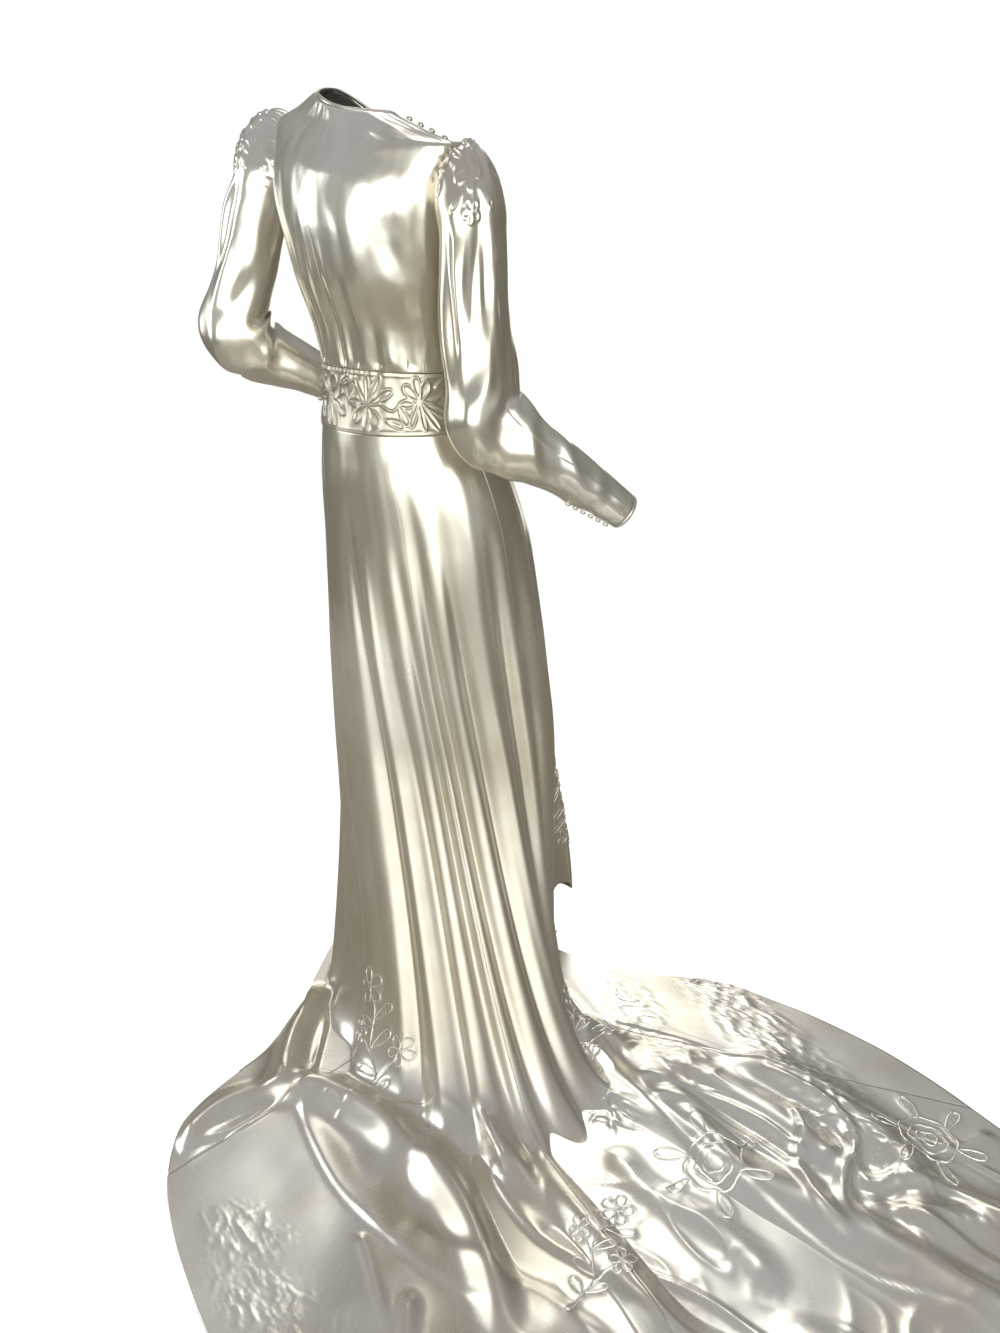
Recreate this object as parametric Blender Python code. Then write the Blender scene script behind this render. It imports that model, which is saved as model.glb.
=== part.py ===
"""A long-sleeved satin wedding dress with a cathedral train, in its worn, hollow form.

Metres, +Z up. The wearer faces -Y, and the wearer's right side is -X. Heights in the tables
are above the floor, and the finished dress is lowered so that its origin lies at the
shoulders, where the wearer holds it up.
"""

import math

import bmesh
import bpy
import numpy as np
from mathutils import Vector
from mathutils.bvhtree import BVHTree

# Main sizes

HOLD_HEIGHT = 1.500  # height of the origin above the floor
CLOTH = 0.0020  # satin with its seam allowances, as one wall
BAND_CLOTH = 0.0030  # waistband, of two layers with cord between them
BAND_EDGE = 0.008  # part of the band's height that is left free at each of its seams
BINDING = 0.0030
SEAM = 0.0003  # gap between two pieces that are sewn together
BINDING_WIDTH = 0.006
CUFF_WIDTH = 0.006
BUTTON_RADIUS = 0.0046
BUTTON_HEIGHT = 0.0050
BUTTON_SEAT = 0.0005  # gap under a button's flat back, which its thread bridges
WRIST_BUTTON_STEP = 0.013
WRIST_BUTTONS_AT = 105.0  # angle round the sleeve, at its underside
RELIEF = 0.0022  # height of the raised flowers

# Bodice rings, from the waist seam up to the neck. "up" runs along the panels, and "tilt" is
# the rise towards the left for each metre across, because the left shoulder is raised.
BODICE_COLUMNS = (
    "up", "half_width", "back", "front", "x_mid", "y_mid", "z_back", "z_side", "z_front", "tilt",
)
BODICE_RINGS = {
    "waist": (0.00, 0.131, 0.099, 0.104, 0.000, 0.008, 1.176, 1.172, 1.170, 0.00),
    "midriff": (0.16, 0.138, 0.106, 0.116, 0.000, 0.013, 1.236, 1.232, 1.230, 0.00),
    "bust": (0.34, 0.156, 0.121, 0.147, 0.000, 0.024, 1.312, 1.300, 1.292, 0.02),
    "underarm": (0.46, 0.164, 0.124, 0.142, 0.000, 0.032, 1.372, 1.352, 1.346, 0.08),
    "blades": (0.62, 0.176, 0.112, 0.112, 0.000, 0.042, 1.436, 1.428, 1.412, 0.14),
    "shoulder": (0.80, 0.184, 0.084, 0.074, 0.000, 0.046, 1.482, 1.497, 1.462, 0.15),
    "yoke": (0.91, 0.120, 0.069, 0.062, 0.004, 0.046, 1.507, 1.519, 1.486, 0.20),
    "neck": (1.00, 0.064, 0.059, 0.056, 0.010, 0.047, 1.527, 1.536, 1.508, 0.30),
}
ARMHOLE_LOW, ARMHOLE_HIGH = 0.47, 0.80  # where the armhole starts and ends along "up"
ARMHOLE_AT_DEG = 99.0  # its middle line, which lies a little in front of the side seam
ARMHOLE_HALF_DEG = 25.0  # half its width, as an angle round the body
ARMHOLE_FULLNESS = 0.55  # under 1 rounds the armhole's ends
BODICE_ROWS = (0.0, 0.10, 0.20, 0.31, 0.41, ARMHOLE_LOW, 0.50, 0.57, 0.66, 0.74, 0.78, ARMHOLE_HIGH, 0.88, 1.0)

# Gathers of the bodice at the waist seam: angle from the centre back towards the right
GATHER_COLUMNS = ("at_deg", "width_deg", "height", "reach")
BACK_GATHERS = (
    (-42, 4.4, 0.0022, 0.26),
    (-31, 3.6, 0.0030, 0.34),
    (-21, 3.2, 0.0026, 0.22),
    (-12, 3.4, 0.0036, 0.40),
    (-3, 3.0, 0.0028, 0.30),
    (6, 3.4, 0.0038, 0.44),
    (15, 3.0, 0.0030, 0.28),
    (24, 3.6, 0.0034, 0.38),
    (35, 4.2, 0.0026, 0.26),
    (48, 4.8, 0.0020, 0.20),
)
FRONT_GATHERS = (
    (146, 5.0, 0.0030, 0.30),
    (157, 5.0, 0.0036, 0.38),
    (168, 5.0, 0.0030, 0.28),
    (192, 5.0, 0.0030, 0.30),
    (203, 5.0, 0.0036, 0.36),
    (214, 5.0, 0.0030, 0.28),
)

# Skirt rings, from the waistband down. "sweep" is how far the back turns to the right.
SKIRT_COLUMNS = ("down", "z", "half_width", "half_depth", "y_mid", "sweep_deg")
SKIRT_RINGS = {
    "band": (0.00, 1.094, 0.149, 0.118, -0.002, 0.0),
    "high_hip": (0.09, 1.010, 0.172, 0.144, -0.024, 1.0),
    "hip": (0.18, 0.900, 0.186, 0.164, -0.046, 3.0),
    "thigh": (0.29, 0.740, 0.194, 0.184, -0.060, 9.0),
    "knee": (0.40, 0.560, 0.203, 0.202, -0.073, 17.0),
}
BAND_DROP_BACK = 0.010  # how much lower the band's bottom edge is at the centre back
TOUCH_AT = 0.72  # where the cloth meets the floor, along "down"
FALL_STEEPNESS = 1.15  # how straight down the cloth leaves the knee ring
FALL_FLATNESS = 1.10  # how gently it runs out on to the floor

# Where each line of the skirt meets the floor and where its hem lies, by the line's angle at
# the waist from the centre back towards the right. The front's lines end above the floor.
FLOOR_COLUMNS = ("at_deg", "touch_x", "touch_y", "hem_x", "hem_y", "hem_z")
FLOOR_LINES = (
    (-180, 0.000, -0.340, 0.000, -0.350, 0.030),
    (-160, 0.088, -0.328, 0.090, -0.340, 0.026),
    (-140, 0.150, -0.275, 0.158, -0.284, 0.018),
    (-122, 0.182, -0.185, 0.192, -0.186, 0.006),
    (-108, 0.186, -0.095, 0.200, -0.072, 0.003),
    (-94, 0.176, 0.016, 0.186, 0.052, 0.003),
    (-82, 0.142, 0.106, 0.112, 0.182, 0.003),
    (-70, 0.084, 0.176, 0.010, 0.306, 0.003),
    (-58, 0.020, 0.226, -0.004, 0.440, 0.003),
    (-46, -0.050, 0.258, -0.034, 0.548, 0.003),
    (-34, -0.120, 0.292, -0.110, 0.622, 0.003),
    (-22, -0.196, 0.310, -0.262, 0.682, 0.003),
    (-10, -0.276, 0.310, -0.480, 0.716, 0.003),
    (2, -0.356, 0.292, -0.760, 0.716, 0.003),
    (14, -0.430, 0.258, -1.040, 0.660, 0.003),
    (26, -0.494, 0.210, -1.280, 0.530, 0.003),
    (38, -0.536, 0.150, -1.430, 0.330, 0.003),
    (50, -0.546, 0.084, -1.480, 0.090, 0.003),
    (62, -0.520, 0.020, -1.420, -0.130, 0.003),
    (74, -0.456, -0.036, -1.270, -0.300, 0.003),
    (86, -0.378, -0.082, -1.030, -0.388, 0.003),
    (98, -0.306, -0.116, -0.780, -0.424, 0.003),
    (110, -0.246, -0.144, -0.520, -0.386, 0.003),
    (122, -0.196, -0.172, -0.310, -0.262, 0.003),
    (134, -0.152, -0.208, -0.168, -0.216, 0.003),
    (142, -0.132, -0.252, -0.138, -0.262, 0.008),
    (150, -0.128, -0.318, -0.132, -0.326, 0.022),
    (163, -0.084, -0.336, -0.088, -0.344, 0.028),
    (180, 0.000, -0.340, 0.000, -0.350, 0.030),
)

# Long hanging folds of the skirt. A negative depth is a valley between two round ridges.
FOLD_COLUMNS = ("at_deg", "width_deg", "depth", "start", "full", "end")
SKIRT_FOLDS = (
    (-172, 7.0, -0.012, 0.16, 0.50, 1.10),
    (-150, 6.0, -0.014, 0.12, 0.46, 1.10),
    (-126, 6.5, -0.012, 0.20, 0.52, 0.95),
    (-104, 6.0, -0.014, 0.16, 0.50, 0.90),
    (-82, 5.0, -0.016, 0.10, 0.46, 0.86),
    (-62, 5.0, -0.014, 0.20, 0.50, 0.84),
    (-38, 5.5, -0.010, 0.30, 0.56, 0.82),
    (-2, 3.6, -0.014, 0.08, 0.42, 0.88),
    (7, 2.8, 0.006, 0.10, 0.40, 0.80),
    (15, 3.2, -0.012, 0.16, 0.50, 0.90),
    (27, 3.2, -0.013, 0.12, 0.44, 0.94),
    (38, 3.4, -0.014, 0.05, 0.40, 0.92),
    (53, 4.2, -0.015, 0.10, 0.42, 0.90),
    (66, 4.0, 0.007, 0.18, 0.46, 0.84),
    (80, 4.6, -0.015, 0.10, 0.40, 0.84),
    (98, 5.0, -0.013, 0.14, 0.46, 0.82),
    (120, 6.0, -0.014, 0.14, 0.50, 0.80),
    (144, 6.0, -0.012, 0.14, 0.50, 1.10),
    (166, 6.5, -0.013, 0.16, 0.50, 1.10),
)

# Ridges of the train on the floor, each a soft roll from one end to the other
ROLL_COLUMNS = ("x0", "y0", "x1", "y1", "bow", "width", "height")
TRAIN_ROLLS = (
    (0.060, 0.200, -0.100, 0.400, -0.020, 0.026, 0.030),
    (-0.100, 0.400, -0.070, 0.572, -0.030, 0.024, 0.020),
    (-0.090, 0.370, -0.640, 0.405, 0.070, 0.034, 0.030),
    (-0.640, 0.405, -1.200, 0.430, -0.020, 0.050, 0.024),
    (-0.380, 0.225, -0.810, 0.268, 0.020, 0.034, 0.024),
    (-0.810, 0.268, -1.330, 0.200, 0.015, 0.050, 0.020),
    (-0.350, -0.090, -0.740, -0.012, 0.020, 0.030, 0.022),
    (-0.740, -0.012, -1.300, -0.070, 0.020, 0.045, 0.024),
    (-0.500, -0.120, -0.860, -0.130, 0.020, 0.036, 0.022),
    (-0.620, -0.220, -0.960, -0.200, 0.030, 0.040, 0.024),
    (-0.960, -0.130, -1.160, -0.300, -0.020, 0.045, 0.022),
    (-0.330, 0.330, -0.520, 0.560, 0.020, 0.050, 0.014),
    (-0.620, 0.520, -0.900, 0.640, 0.010, 0.050, 0.014),
)

# Skirt panels: the angles of the two edges, and the number of columns between them
SKIRT_PANELS = {
    "skirt_front": (142, 218, 15),
    "skirt_side_left": (218, 262, 9),
    "skirt_back_left": (-98, -34, 15),
    "skirt_back_centre": (-34, 32, 19),
    "skirt_back_right": (32, 90, 17),
    "skirt_side_right": (90, 142, 13),
}
ROWS_HANGING = (0.0, 0.05, 0.11, 0.18, 0.27, 0.36, 0.44, 0.51, 0.57, 0.62, 0.66)
ROWS_LANDING = (0.69, 0.73, 0.79, 0.85, 0.90, 0.95, 1.0)
FRONT_HEM_DROP = 0.035  # how much lower the front hem is at its middle than at its corners

# Sprays of raised flowers: centre on the skirt as angle and "down", then size and turn
SPRAY_COLUMNS = ("at_deg", "down", "size", "turn_deg")
SKIRT_SPRAYS = (
    (150, 0.60, 0.075, 10),
    (-150, 0.60, 0.075, -10),
    (-34, 0.70, 0.085, 80),
    (96, 0.72, 0.075, -60),
)

# Sleeves: the line through shoulder, elbow and wrist, on each side
SLEEVE_COLUMNS = ("along", "x", "y", "z")
RIGHT_ARM = (
    (0.00, -0.206, 0.040, 1.462),
    (0.22, -0.219, 0.044, 1.362),
    (0.42, -0.230, 0.049, 1.240),
    (0.58, -0.243, 0.048, 1.140),
    (0.68, -0.262, 0.006, 1.092),
    (0.84, -0.300, -0.070, 1.036),
    (1.00, -0.339, -0.153, 0.972),
)
LEFT_ARM = (
    (0.00, 0.202, 0.048, 1.505),
    (0.22, 0.230, 0.072, 1.430),
    (0.42, 0.252, 0.098, 1.326),
    (0.58, 0.276, 0.116, 1.232),
    (0.68, 0.270, 0.082, 1.190),
    (0.84, 0.230, 0.006, 1.142),
    (1.00, 0.190, -0.070, 1.104),
)
# Half the sleeve's width towards the outside of the arm and towards its back
GIRTH_COLUMNS = ("along", "outer", "back")
SLEEVE_GIRTH = (
    (0.00, 0.050, 0.060),
    (0.10, 0.049, 0.057),
    (0.24, 0.041, 0.049),
    (0.40, 0.044, 0.050),
    (0.52, 0.048, 0.052),
    (0.62, 0.052, 0.055),
    (0.74, 0.046, 0.047),
    (0.88, 0.036, 0.037),
    (1.00, 0.027, 0.029),
)
CAP_LENGTH = 0.20  # part of the sleeve over which its head opens out from the armhole
CAP_RISE = {-1: 0.014, 1: 0.030}  # how far the puffed head stands above each shoulder
CAP_SPREAD = {-1: 0.006, 1: 0.036}  # and how far out it stands
UNDERARM_CLEAR = 0.006  # how far its lower half stands off the bodice
CAP_GATHERS = 14  # all round, though only the upper ones stand up
CAP_GATHER_HEIGHT = 0.0030
SLEEVE_SIDES = 28
SLEEVE_SPLIT = 0.60  # where the upper sleeve's node ends and the lower one's starts

# Folds across the sleeve where the arm bends, and along it: place, angle, sizes and height
SLEEVE_FOLD_COLUMNS = ("along", "around_deg", "length", "width_deg", "height")
SLEEVE_FOLDS = (
    (0.66, 95, 0.17, 50, 0.0130),
    (0.30, 70, 0.20, 12, 0.0060),
    (0.34, 20, 0.22, 10, -0.0060),
    (0.40, 130, 0.18, 12, 0.0050),
    (0.50, 300, 0.14, 14, 0.0060),
    (0.57, 240, 0.07, 40, -0.0070),
    (0.62, 215, 0.05, 44, 0.0060),
    (0.66, 250, 0.05, 40, -0.0060),
    (0.58, 60, 0.10, 18, 0.0060),
    (0.64, 20, 0.08, 20, -0.0050),
    (0.74, 330, 0.12, 16, 0.0045),
    (0.80, 90, 0.10, 18, -0.0045),
    (0.88, 200, 0.06, 34, 0.0040),
    (0.93, 30, 0.05, 40, -0.0030),
)


def table(rows, columns):
    """A table's columns by name, as arrays."""
    return {name: np.array(values, float) for name, values in zip(columns, zip(*rows))}


BODICE = table(BODICE_RINGS.values(), BODICE_COLUMNS)
SKIRT = table(SKIRT_RINGS.values(), SKIRT_COLUMNS)
FLOOR = table(FLOOR_LINES, FLOOR_COLUMNS)


def slopes(at, values):
    """Slopes through a table's points that never overshoot them."""
    steps = np.diff(at)
    rates = np.diff(values) / steps
    inner = np.where(
        rates[:-1] * rates[1:] > 0,
        2 * rates[:-1] * rates[1:] / np.where(rates[:-1] + rates[1:] == 0, 1, rates[:-1] + rates[1:]),
        0,
    )
    return np.concatenate([rates[:1], inner, rates[-1:]])


def smooth(at, values, x):
    """A smooth curve through the points of a table, read at x."""
    slope = slopes(at, values)
    x = np.clip(x, at[0], at[-1])
    i = np.clip(np.searchsorted(at, x, side="right") - 1, 0, len(at) - 2)
    step = at[i + 1] - at[i]
    t = (x - at[i]) / step
    start = values[i] * (1 + 2 * t) * (1 - t) ** 2 + slope[i] * step * t * (1 - t) ** 2
    end = values[i + 1] * t**2 * (3 - 2 * t) - slope[i + 1] * step * t**2 * (1 - t)
    return start + end


def ease(x):
    """0 up to x = 0, 1 from x = 1, and a soft step between."""
    x = np.clip(x, 0, 1)
    return x * x * (3 - 2 * x)


def bump(x):
    """A soft hump, 1 at 0."""
    return np.exp(-(x**2))


def turn_from(angle, centre):
    """The angle from a centre, in degrees, between -180 and 180."""
    return (angle - centre + 180) % 360 - 180


def gathered(angle, up, gathers):
    rise = 0
    for row in gathers:
        at_deg, width_deg, height, reach = row
        rise = rise + height * bump(turn_from(angle, at_deg) / width_deg) * (1 - ease(up / reach))
    return rise


def bodice_surface(angle, up):
    """The bodice at an angle from the centre back towards the right, in degrees."""
    ring = {name: smooth(BODICE["up"], BODICE[name], up) for name in BODICE_COLUMNS[1:]}
    sine, cosine = np.sin(np.radians(angle)), np.cos(np.radians(angle))
    depth = np.where(cosine > 0, ring["back"], ring["front"])
    z_middle = np.where(cosine > 0, ring["z_back"], ring["z_front"])
    rise = gathered(angle, up, BACK_GATHERS) + gathered(angle, up, FRONT_GATHERS)
    x = ring["x_mid"] - (ring["half_width"] + rise) * sine
    y = ring["y_mid"] + (depth + rise) * cosine
    z = ring["z_side"] * sine**2 + z_middle * cosine**2 + ring["tilt"] * x
    return np.stack([x, y, z], axis=-1)


def armhole_edge(up, to_back):
    """The angle from the centre back at which a panel ends: at the armhole's back edge where
    to_back is 1 and at its front edge where it is -1, and at one line above and below it."""
    part = np.clip((up - ARMHOLE_LOW) / (ARMHOLE_HIGH - ARMHOLE_LOW), 0, 1)
    return ARMHOLE_AT_DEG - to_back * ARMHOLE_HALF_DEG * np.sin(math.pi * part) ** ARMHOLE_FULLNESS


def skirt_ring(angle, down):
    ring = {name: smooth(SKIRT["down"], SKIRT[name], down) for name in SKIRT_COLUMNS[1:]}
    turned = np.radians(angle + ring["sweep_deg"] * np.cos(np.radians(angle) / 2) ** 2)
    x = -ring["half_width"] * np.sin(turned)
    y = ring["y_mid"] + ring["half_depth"] * np.cos(turned)
    drop = BAND_DROP_BACK * np.cos(np.radians(angle) / 2) ** 2 * (1 - ease(down / 0.15))
    return x, y, ring["z"] - drop


def train_rise(x, y):
    """Height that the rolls add to the train at a place on the floor."""
    rise = 0
    for x0, y0, x1, y1, bow, width, height in TRAIN_ROLLS:
        length = math.hypot(x1 - x0, y1 - y0)
        ux, uy = (x1 - x0) / length, (y1 - y0) / length
        along = ((x - x0) * ux + (y - y0) * uy) / length
        across = (y - y0) * ux - (x - x0) * uy - 4 * bow * along * (1 - along)
        ends = ease((along + 0.12) / 0.24) * ease((1.12 - along) / 0.24)
        rise = rise + height * bump(across / width) * ends
    return rise


def skirt_base(angle, down):
    """The skirt and train without folds: rings down to the knee, a fall on to the floor, and
    then straight lines out to the hem."""
    line = {name: smooth(FLOOR["at_deg"], FLOOR[name], angle) for name in FLOOR_COLUMNS[1:]}
    knee_at = SKIRT["down"][-1]
    knee = np.stack(skirt_ring(angle, np.full_like(angle, knee_at)), axis=-1)
    above = np.stack(skirt_ring(angle, np.full_like(angle, knee_at - 0.02)), axis=-1)
    touch = np.stack([line["touch_x"], line["touch_y"], line["hem_z"] + CLOTH], axis=-1)
    hem = np.stack([line["hem_x"], line["hem_y"], line["hem_z"] + CLOTH], axis=-1)
    heading = hem - touch
    heading /= np.linalg.norm(heading, axis=-1, keepdims=True)
    across = np.linalg.norm((touch - knee)[..., :2], axis=-1, keepdims=True)
    leave = (knee - above) / np.abs((knee - above)[..., 2:]) * (knee - touch)[..., 2:] * FALL_STEEPNESS
    lands = ease((0.014 - line["hem_z"]) / 0.01)[..., None]
    downwards = np.array([0.0, 0.0, -0.5])
    arrive = heading * across * FALL_FLATNESS * lands + downwards * (1 - lands)
    fall = np.clip((down - knee_at) / (TOUCH_AT - knee_at), 0, 1)[..., None]
    run = np.clip((down - TOUCH_AT) / (1 - TOUCH_AT), 0, 1)[..., None]
    fallen = knee * (1 + 2 * fall) * (1 - fall) ** 2 + leave * fall * (1 - fall) ** 2
    fallen = fallen + touch * fall**2 * (3 - 2 * fall) - arrive * fall**2 * (1 - fall)
    hung = np.stack(skirt_ring(angle, np.minimum(down, knee_at)), axis=-1)
    laid = touch + (hem - touch) * run
    points = np.where(down[..., None] > knee_at, fallen, hung)
    points = np.where(down[..., None] > TOUCH_AT, laid, points)
    points[..., 2] = np.maximum(points[..., 2], line["hem_z"] + CLOTH)
    return points


def fold_depth(angle, down):
    depth = 0
    for at_deg, width_deg, size, first, full, end in SKIRT_FOLDS:
        share = ease((down - first) / (full - first)) * (1 - ease((down - end + 0.14) / 0.14))
        depth = depth + size * bump(turn_from(angle, at_deg) / width_deg) * share
    return depth


def skirt_surface(angle, down):
    """The skirt and train at an angle round the waist and a place on the way down."""
    angle = turn_from(angle, 0)
    points = skirt_base(angle, down)
    outwards = normals(skirt_base, angle, down, -1)
    points = points + outwards * fold_depth(angle, down)[..., None]
    rests = ease((down - TOUCH_AT + 0.14) / 0.14) * ease((0.05 - points[..., 2]) / 0.03)
    points[..., 2] += rests * train_rise(points[..., 0], points[..., 1])
    points[..., 2] = np.maximum(points[..., 2], 0.003 + CLOTH)
    return points


def band_surface(angle, up):
    """The waistband, from the skirt's top edge at 0 to the bodice's at 1."""
    low = skirt_surface(angle, np.zeros_like(angle))
    high = bodice_surface(angle, np.zeros_like(angle))
    points = low + (high - low) * up[..., None]
    hollow = 0.004 * np.sin(math.pi * up)
    points[..., 0] += hollow * np.sin(np.radians(angle))
    points[..., 1] -= hollow * np.cos(np.radians(angle))
    return points


def sleeve_surface(arm, side):
    """The sleeve as a surface over its length and the angle round it. The angle starts at the
    outside of the arm and turns towards its back. side is -1 on the right and 1 on the left."""
    line = table(arm, SLEEVE_COLUMNS)
    girth = table(SLEEVE_GIRTH, GIRTH_COLUMNS)

    def centre(along):
        return np.stack([smooth(line["along"], line[axis], along) for axis in "xyz"], axis=-1)

    def surface(around, along):
        step = 0.03
        ahead = centre(np.minimum(along + step, 1.0))
        tangent = ahead - centre(np.maximum(np.minimum(along + step, 1.0) - 2 * step, 0.0))
        tangent /= np.linalg.norm(tangent, axis=-1, keepdims=True)
        outer = np.zeros_like(tangent)
        outer[..., 0] = side
        outer -= (outer * tangent).sum(axis=-1, keepdims=True) * tangent
        outer /= np.linalg.norm(outer, axis=-1, keepdims=True)
        back = side * np.cross(outer, tangent)
        turned = np.radians(around)
        wide = smooth(girth["along"], girth["outer"], along)
        deep = smooth(girth["along"], girth["back"], along)
        swell = 0
        for at, around_deg, length, width_deg, height in SLEEVE_FOLDS:
            place = bump((along - at) / length * 2) * bump(turn_from(around, around_deg) / width_deg)
            swell = swell + height * place
        wide, deep = wide + swell, deep + swell
        tube = centre(along)
        tube = tube + (wide * np.cos(turned))[..., None] * outer
        tube = tube + (deep * np.sin(turned))[..., None] * back
        # The head starts on the armhole, rises as a puff and then follows the arm.
        up = ARMHOLE_LOW + (ARMHOLE_HIGH - ARMHOLE_LOW) * (1 + np.cos(turned)) / 2
        to_back = np.where(np.sin(turned) >= 0, 1, -1)
        armhole = bodice_surface(-side * armhole_edge(up, to_back), up)
        armhole[..., 0] += side * (CLOTH + SEAM)
        share = ease(along / CAP_LENGTH)
        top = np.maximum(np.cos(turned), 0) ** 0.7
        puff = np.sin(math.pi * np.clip(along / CAP_LENGTH, 0, 1)) * top
        ripple = np.cos(CAP_GATHERS * turned) * ease(along / 0.04) * (1 - ease(along / CAP_LENGTH)) * top
        points = armhole + (tube - armhole) * share[..., None]
        points[..., 2] += CAP_RISE[side] * puff + CAP_GATHER_HEIGHT * ripple
        points[..., 0] += side * (CAP_SPREAD[side] * puff + 0.5 * CAP_GATHER_HEIGHT * ripple)
        under = np.maximum(-np.cos(turned), 0) * np.sin(math.pi * np.clip(along / CAP_LENGTH, 0, 1))
        points[..., 0] += side * UNDERARM_CLEAR * under
        return points

    return surface


def flower(x, y):
    """Height, from 0 to 1, of a raised flower of five round petals, 1 across at its widest."""
    distance = np.hypot(x, y)
    turned = np.arctan2(y, x)
    petals = 0.62 + 0.34 * np.cos(5 * turned)
    return bump((distance - petals * 0.62) / 0.20) + 0.8 * bump(distance / 0.16)


def leaf(x, y, turn):
    """Height of a raised leaf with its root at 0, pointing along the turn."""
    c, s = math.cos(turn), math.sin(turn)
    along, across = x * c + y * s, y * c - x * s
    width = 0.26 * np.sqrt(np.clip(along * (1.3 - along), 0, None)) + 1e-3
    inside = np.clip(along, 0, 1.3) == along
    return np.where(inside, bump(across / width), 0)


def motif(x, y):
    """Height, from 0 to 1, of a flower with four leaves round it."""
    height = flower(x, y)
    for turn in (0.5, 2.2, 3.6, 5.4):
        root_x, root_y = 0.7 * math.cos(turn), 0.7 * math.sin(turn)
        height = np.maximum(height, leaf(x - root_x, y - root_y, turn + 0.3))
    return np.minimum(height, 1)


def band_relief(angle, up):
    """Raised flowers all along the waistband, turned up and down in turn."""
    pitch_deg = 24.0
    number = np.round(angle / pitch_deg)
    across = (angle - number * pitch_deg) / pitch_deg * 2.3
    flip = np.where(number % 2 == 0, 1, -1)
    rise = (up - 0.5) * 3.0 * flip
    inside = ease(up / 0.12) * ease((1 - up) / 0.12)
    return RELIEF * motif(across, rise + 0.25) * inside


def skirt_relief(angle, down):
    """Raised sprays near the skirt's hem."""
    height = 0
    points = skirt_surface(angle, down)
    for at_deg, at_down, size, turn_deg in SKIRT_SPRAYS:
        middle = skirt_surface(np.array(float(at_deg)), np.array(at_down))
        offset = points - middle
        distance = np.linalg.norm(offset, axis=-1)
        turned = np.radians(turn_from(angle, at_deg) * 2 + turn_deg)
        spray = 0.5 + 0.5 * np.cos(distance / size * 9.0 + 3 * np.cos(turned))
        height = height + RELIEF * spray * (1 - ease(distance / size - 0.4))
    return height


def cap_relief(around, along):
    """Raised flowers on the outer side of the sleeve's head."""
    across = turn_from(around, 40) / 34.0
    down = (along - 0.20) / 0.075
    fades = ease((along - 0.06) / 0.05) * ease((0.36 - along) / 0.06) * ease((80 - np.abs(turn_from(around, 30))) / 20)
    repeat = (down + 1.2) % 2.4 - 1.2
    return RELIEF * motif(across * 1.6, repeat * 1.1) * fades


def normals(surface, first, second, sign):
    """Unit normals of a surface, from how it changes with each of its two measures."""
    small_first, small_second = 0.05, 0.0005
    across = surface(first + small_first, second) - surface(first - small_first, second)
    along = surface(first, second + small_second) - surface(first, second - small_second)
    normal = sign * np.cross(across, along)
    return normal / np.maximum(np.linalg.norm(normal, axis=-1, keepdims=True), 1e-12)


def parted(points, closed):
    """The points of a panel with its edges drawn back, so that two panels keep a seam's gap."""
    points = points.copy()
    pairs = [(0, 1, 0), (-1, -2, 0)] + ([] if closed else [(0, 1, 1), (-1, -2, 1)])
    for edge, inner, axis in pairs:
        first, second = (points[edge], points[inner]) if axis == 0 else (points[:, edge], points[:, inner])
        step = second - first
        first += step / np.linalg.norm(step, axis=-1, keepdims=True) * SEAM / 2
    return points


def material(name, colour, roughness):
    made = bpy.data.materials.get(name) or bpy.data.materials.new(name)
    made.use_nodes = True
    shader = made.node_tree.nodes["Principled BSDF"]
    shader.inputs["Base Color"].default_value = (*colour, 1)
    shader.inputs["Roughness"].default_value = roughness
    shader.inputs["Metallic"].default_value = 0.0
    return made


def satin():
    return material("satin", (0.62, 0.57, 0.46), 0.30)


def lowered(points):
    """Heights above the floor, turned into heights in the dress's own frame."""
    return points - np.array([0.0, 0.0, HOLD_HEIGHT])


def wall(name, points, outwards, thickness, closed=False, relief=0.0):
    """One piece of cloth: a grid of points, the same grid drawn inwards, and a rim between."""
    rows, columns = points.shape[:2]
    outer = points + outwards * np.reshape(relief, (*np.shape(relief), 1))
    inner = points - outwards * thickness
    places = lowered(np.concatenate([outer.reshape(-1, 3), inner.reshape(-1, 3)]))
    layer = rows * columns
    cells = columns if closed else columns - 1
    # Both layers are split along the same diagonals, so that neither cuts through the other.
    faces = []
    for row in range(rows - 1):
        for column in range(cells):
            here, beside = row * columns + column, row * columns + (column + 1) % columns
            for corners in ((here, beside, beside + columns), (here, beside + columns, here + columns)):
                faces.append(corners)
                faces.append(tuple(layer + corner for corner in reversed(corners)))
    rims = []
    for row in (0, rows - 1):
        for column in range(cells):
            rims.append((row * columns + column, row * columns + (column + 1) % columns))
    for column in () if closed else (0, columns - 1):
        for row in range(rows - 1):
            rims.append((row * columns + column, (row + 1) * columns + column))
    # Both sides of a seam split their rims along the same diagonal, so their gap stays even.
    for here, beside in rims:
        faces.append((here, here + layer, beside + layer))
        faces.append((here, beside + layer, beside))
    mesh = bpy.data.meshes.new(name)
    mesh.from_pydata(places.tolist(), [], faces)
    shape = bmesh.new()
    shape.from_mesh(mesh)
    bmesh.ops.recalc_face_normals(shape, faces=shape.faces)
    shape.to_mesh(mesh)
    shape.free()
    mesh.shade_smooth()
    mesh.materials.append(satin())
    made = bpy.data.objects.new(name, mesh)
    bpy.context.scene.collection.objects.link(made)
    return made


def even(low, high, count):
    return np.linspace(low, high, count)


def back_bodice(name, turn, columns, ups):
    """Half the back bodice, from the centre back to the side seam, armhole and shoulder seam.
    turn is 1 on the right and -1 on the left."""
    share, up = np.meshgrid(even(0, 1, columns) ** 1.25, ups)
    angle = turn * armhole_edge(up, 1) * share
    points = bodice_surface(angle, up)
    outwards = normals(bodice_surface, angle, up, 1)
    return wall(name, parted(points, False), outwards, CLOTH)


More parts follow.
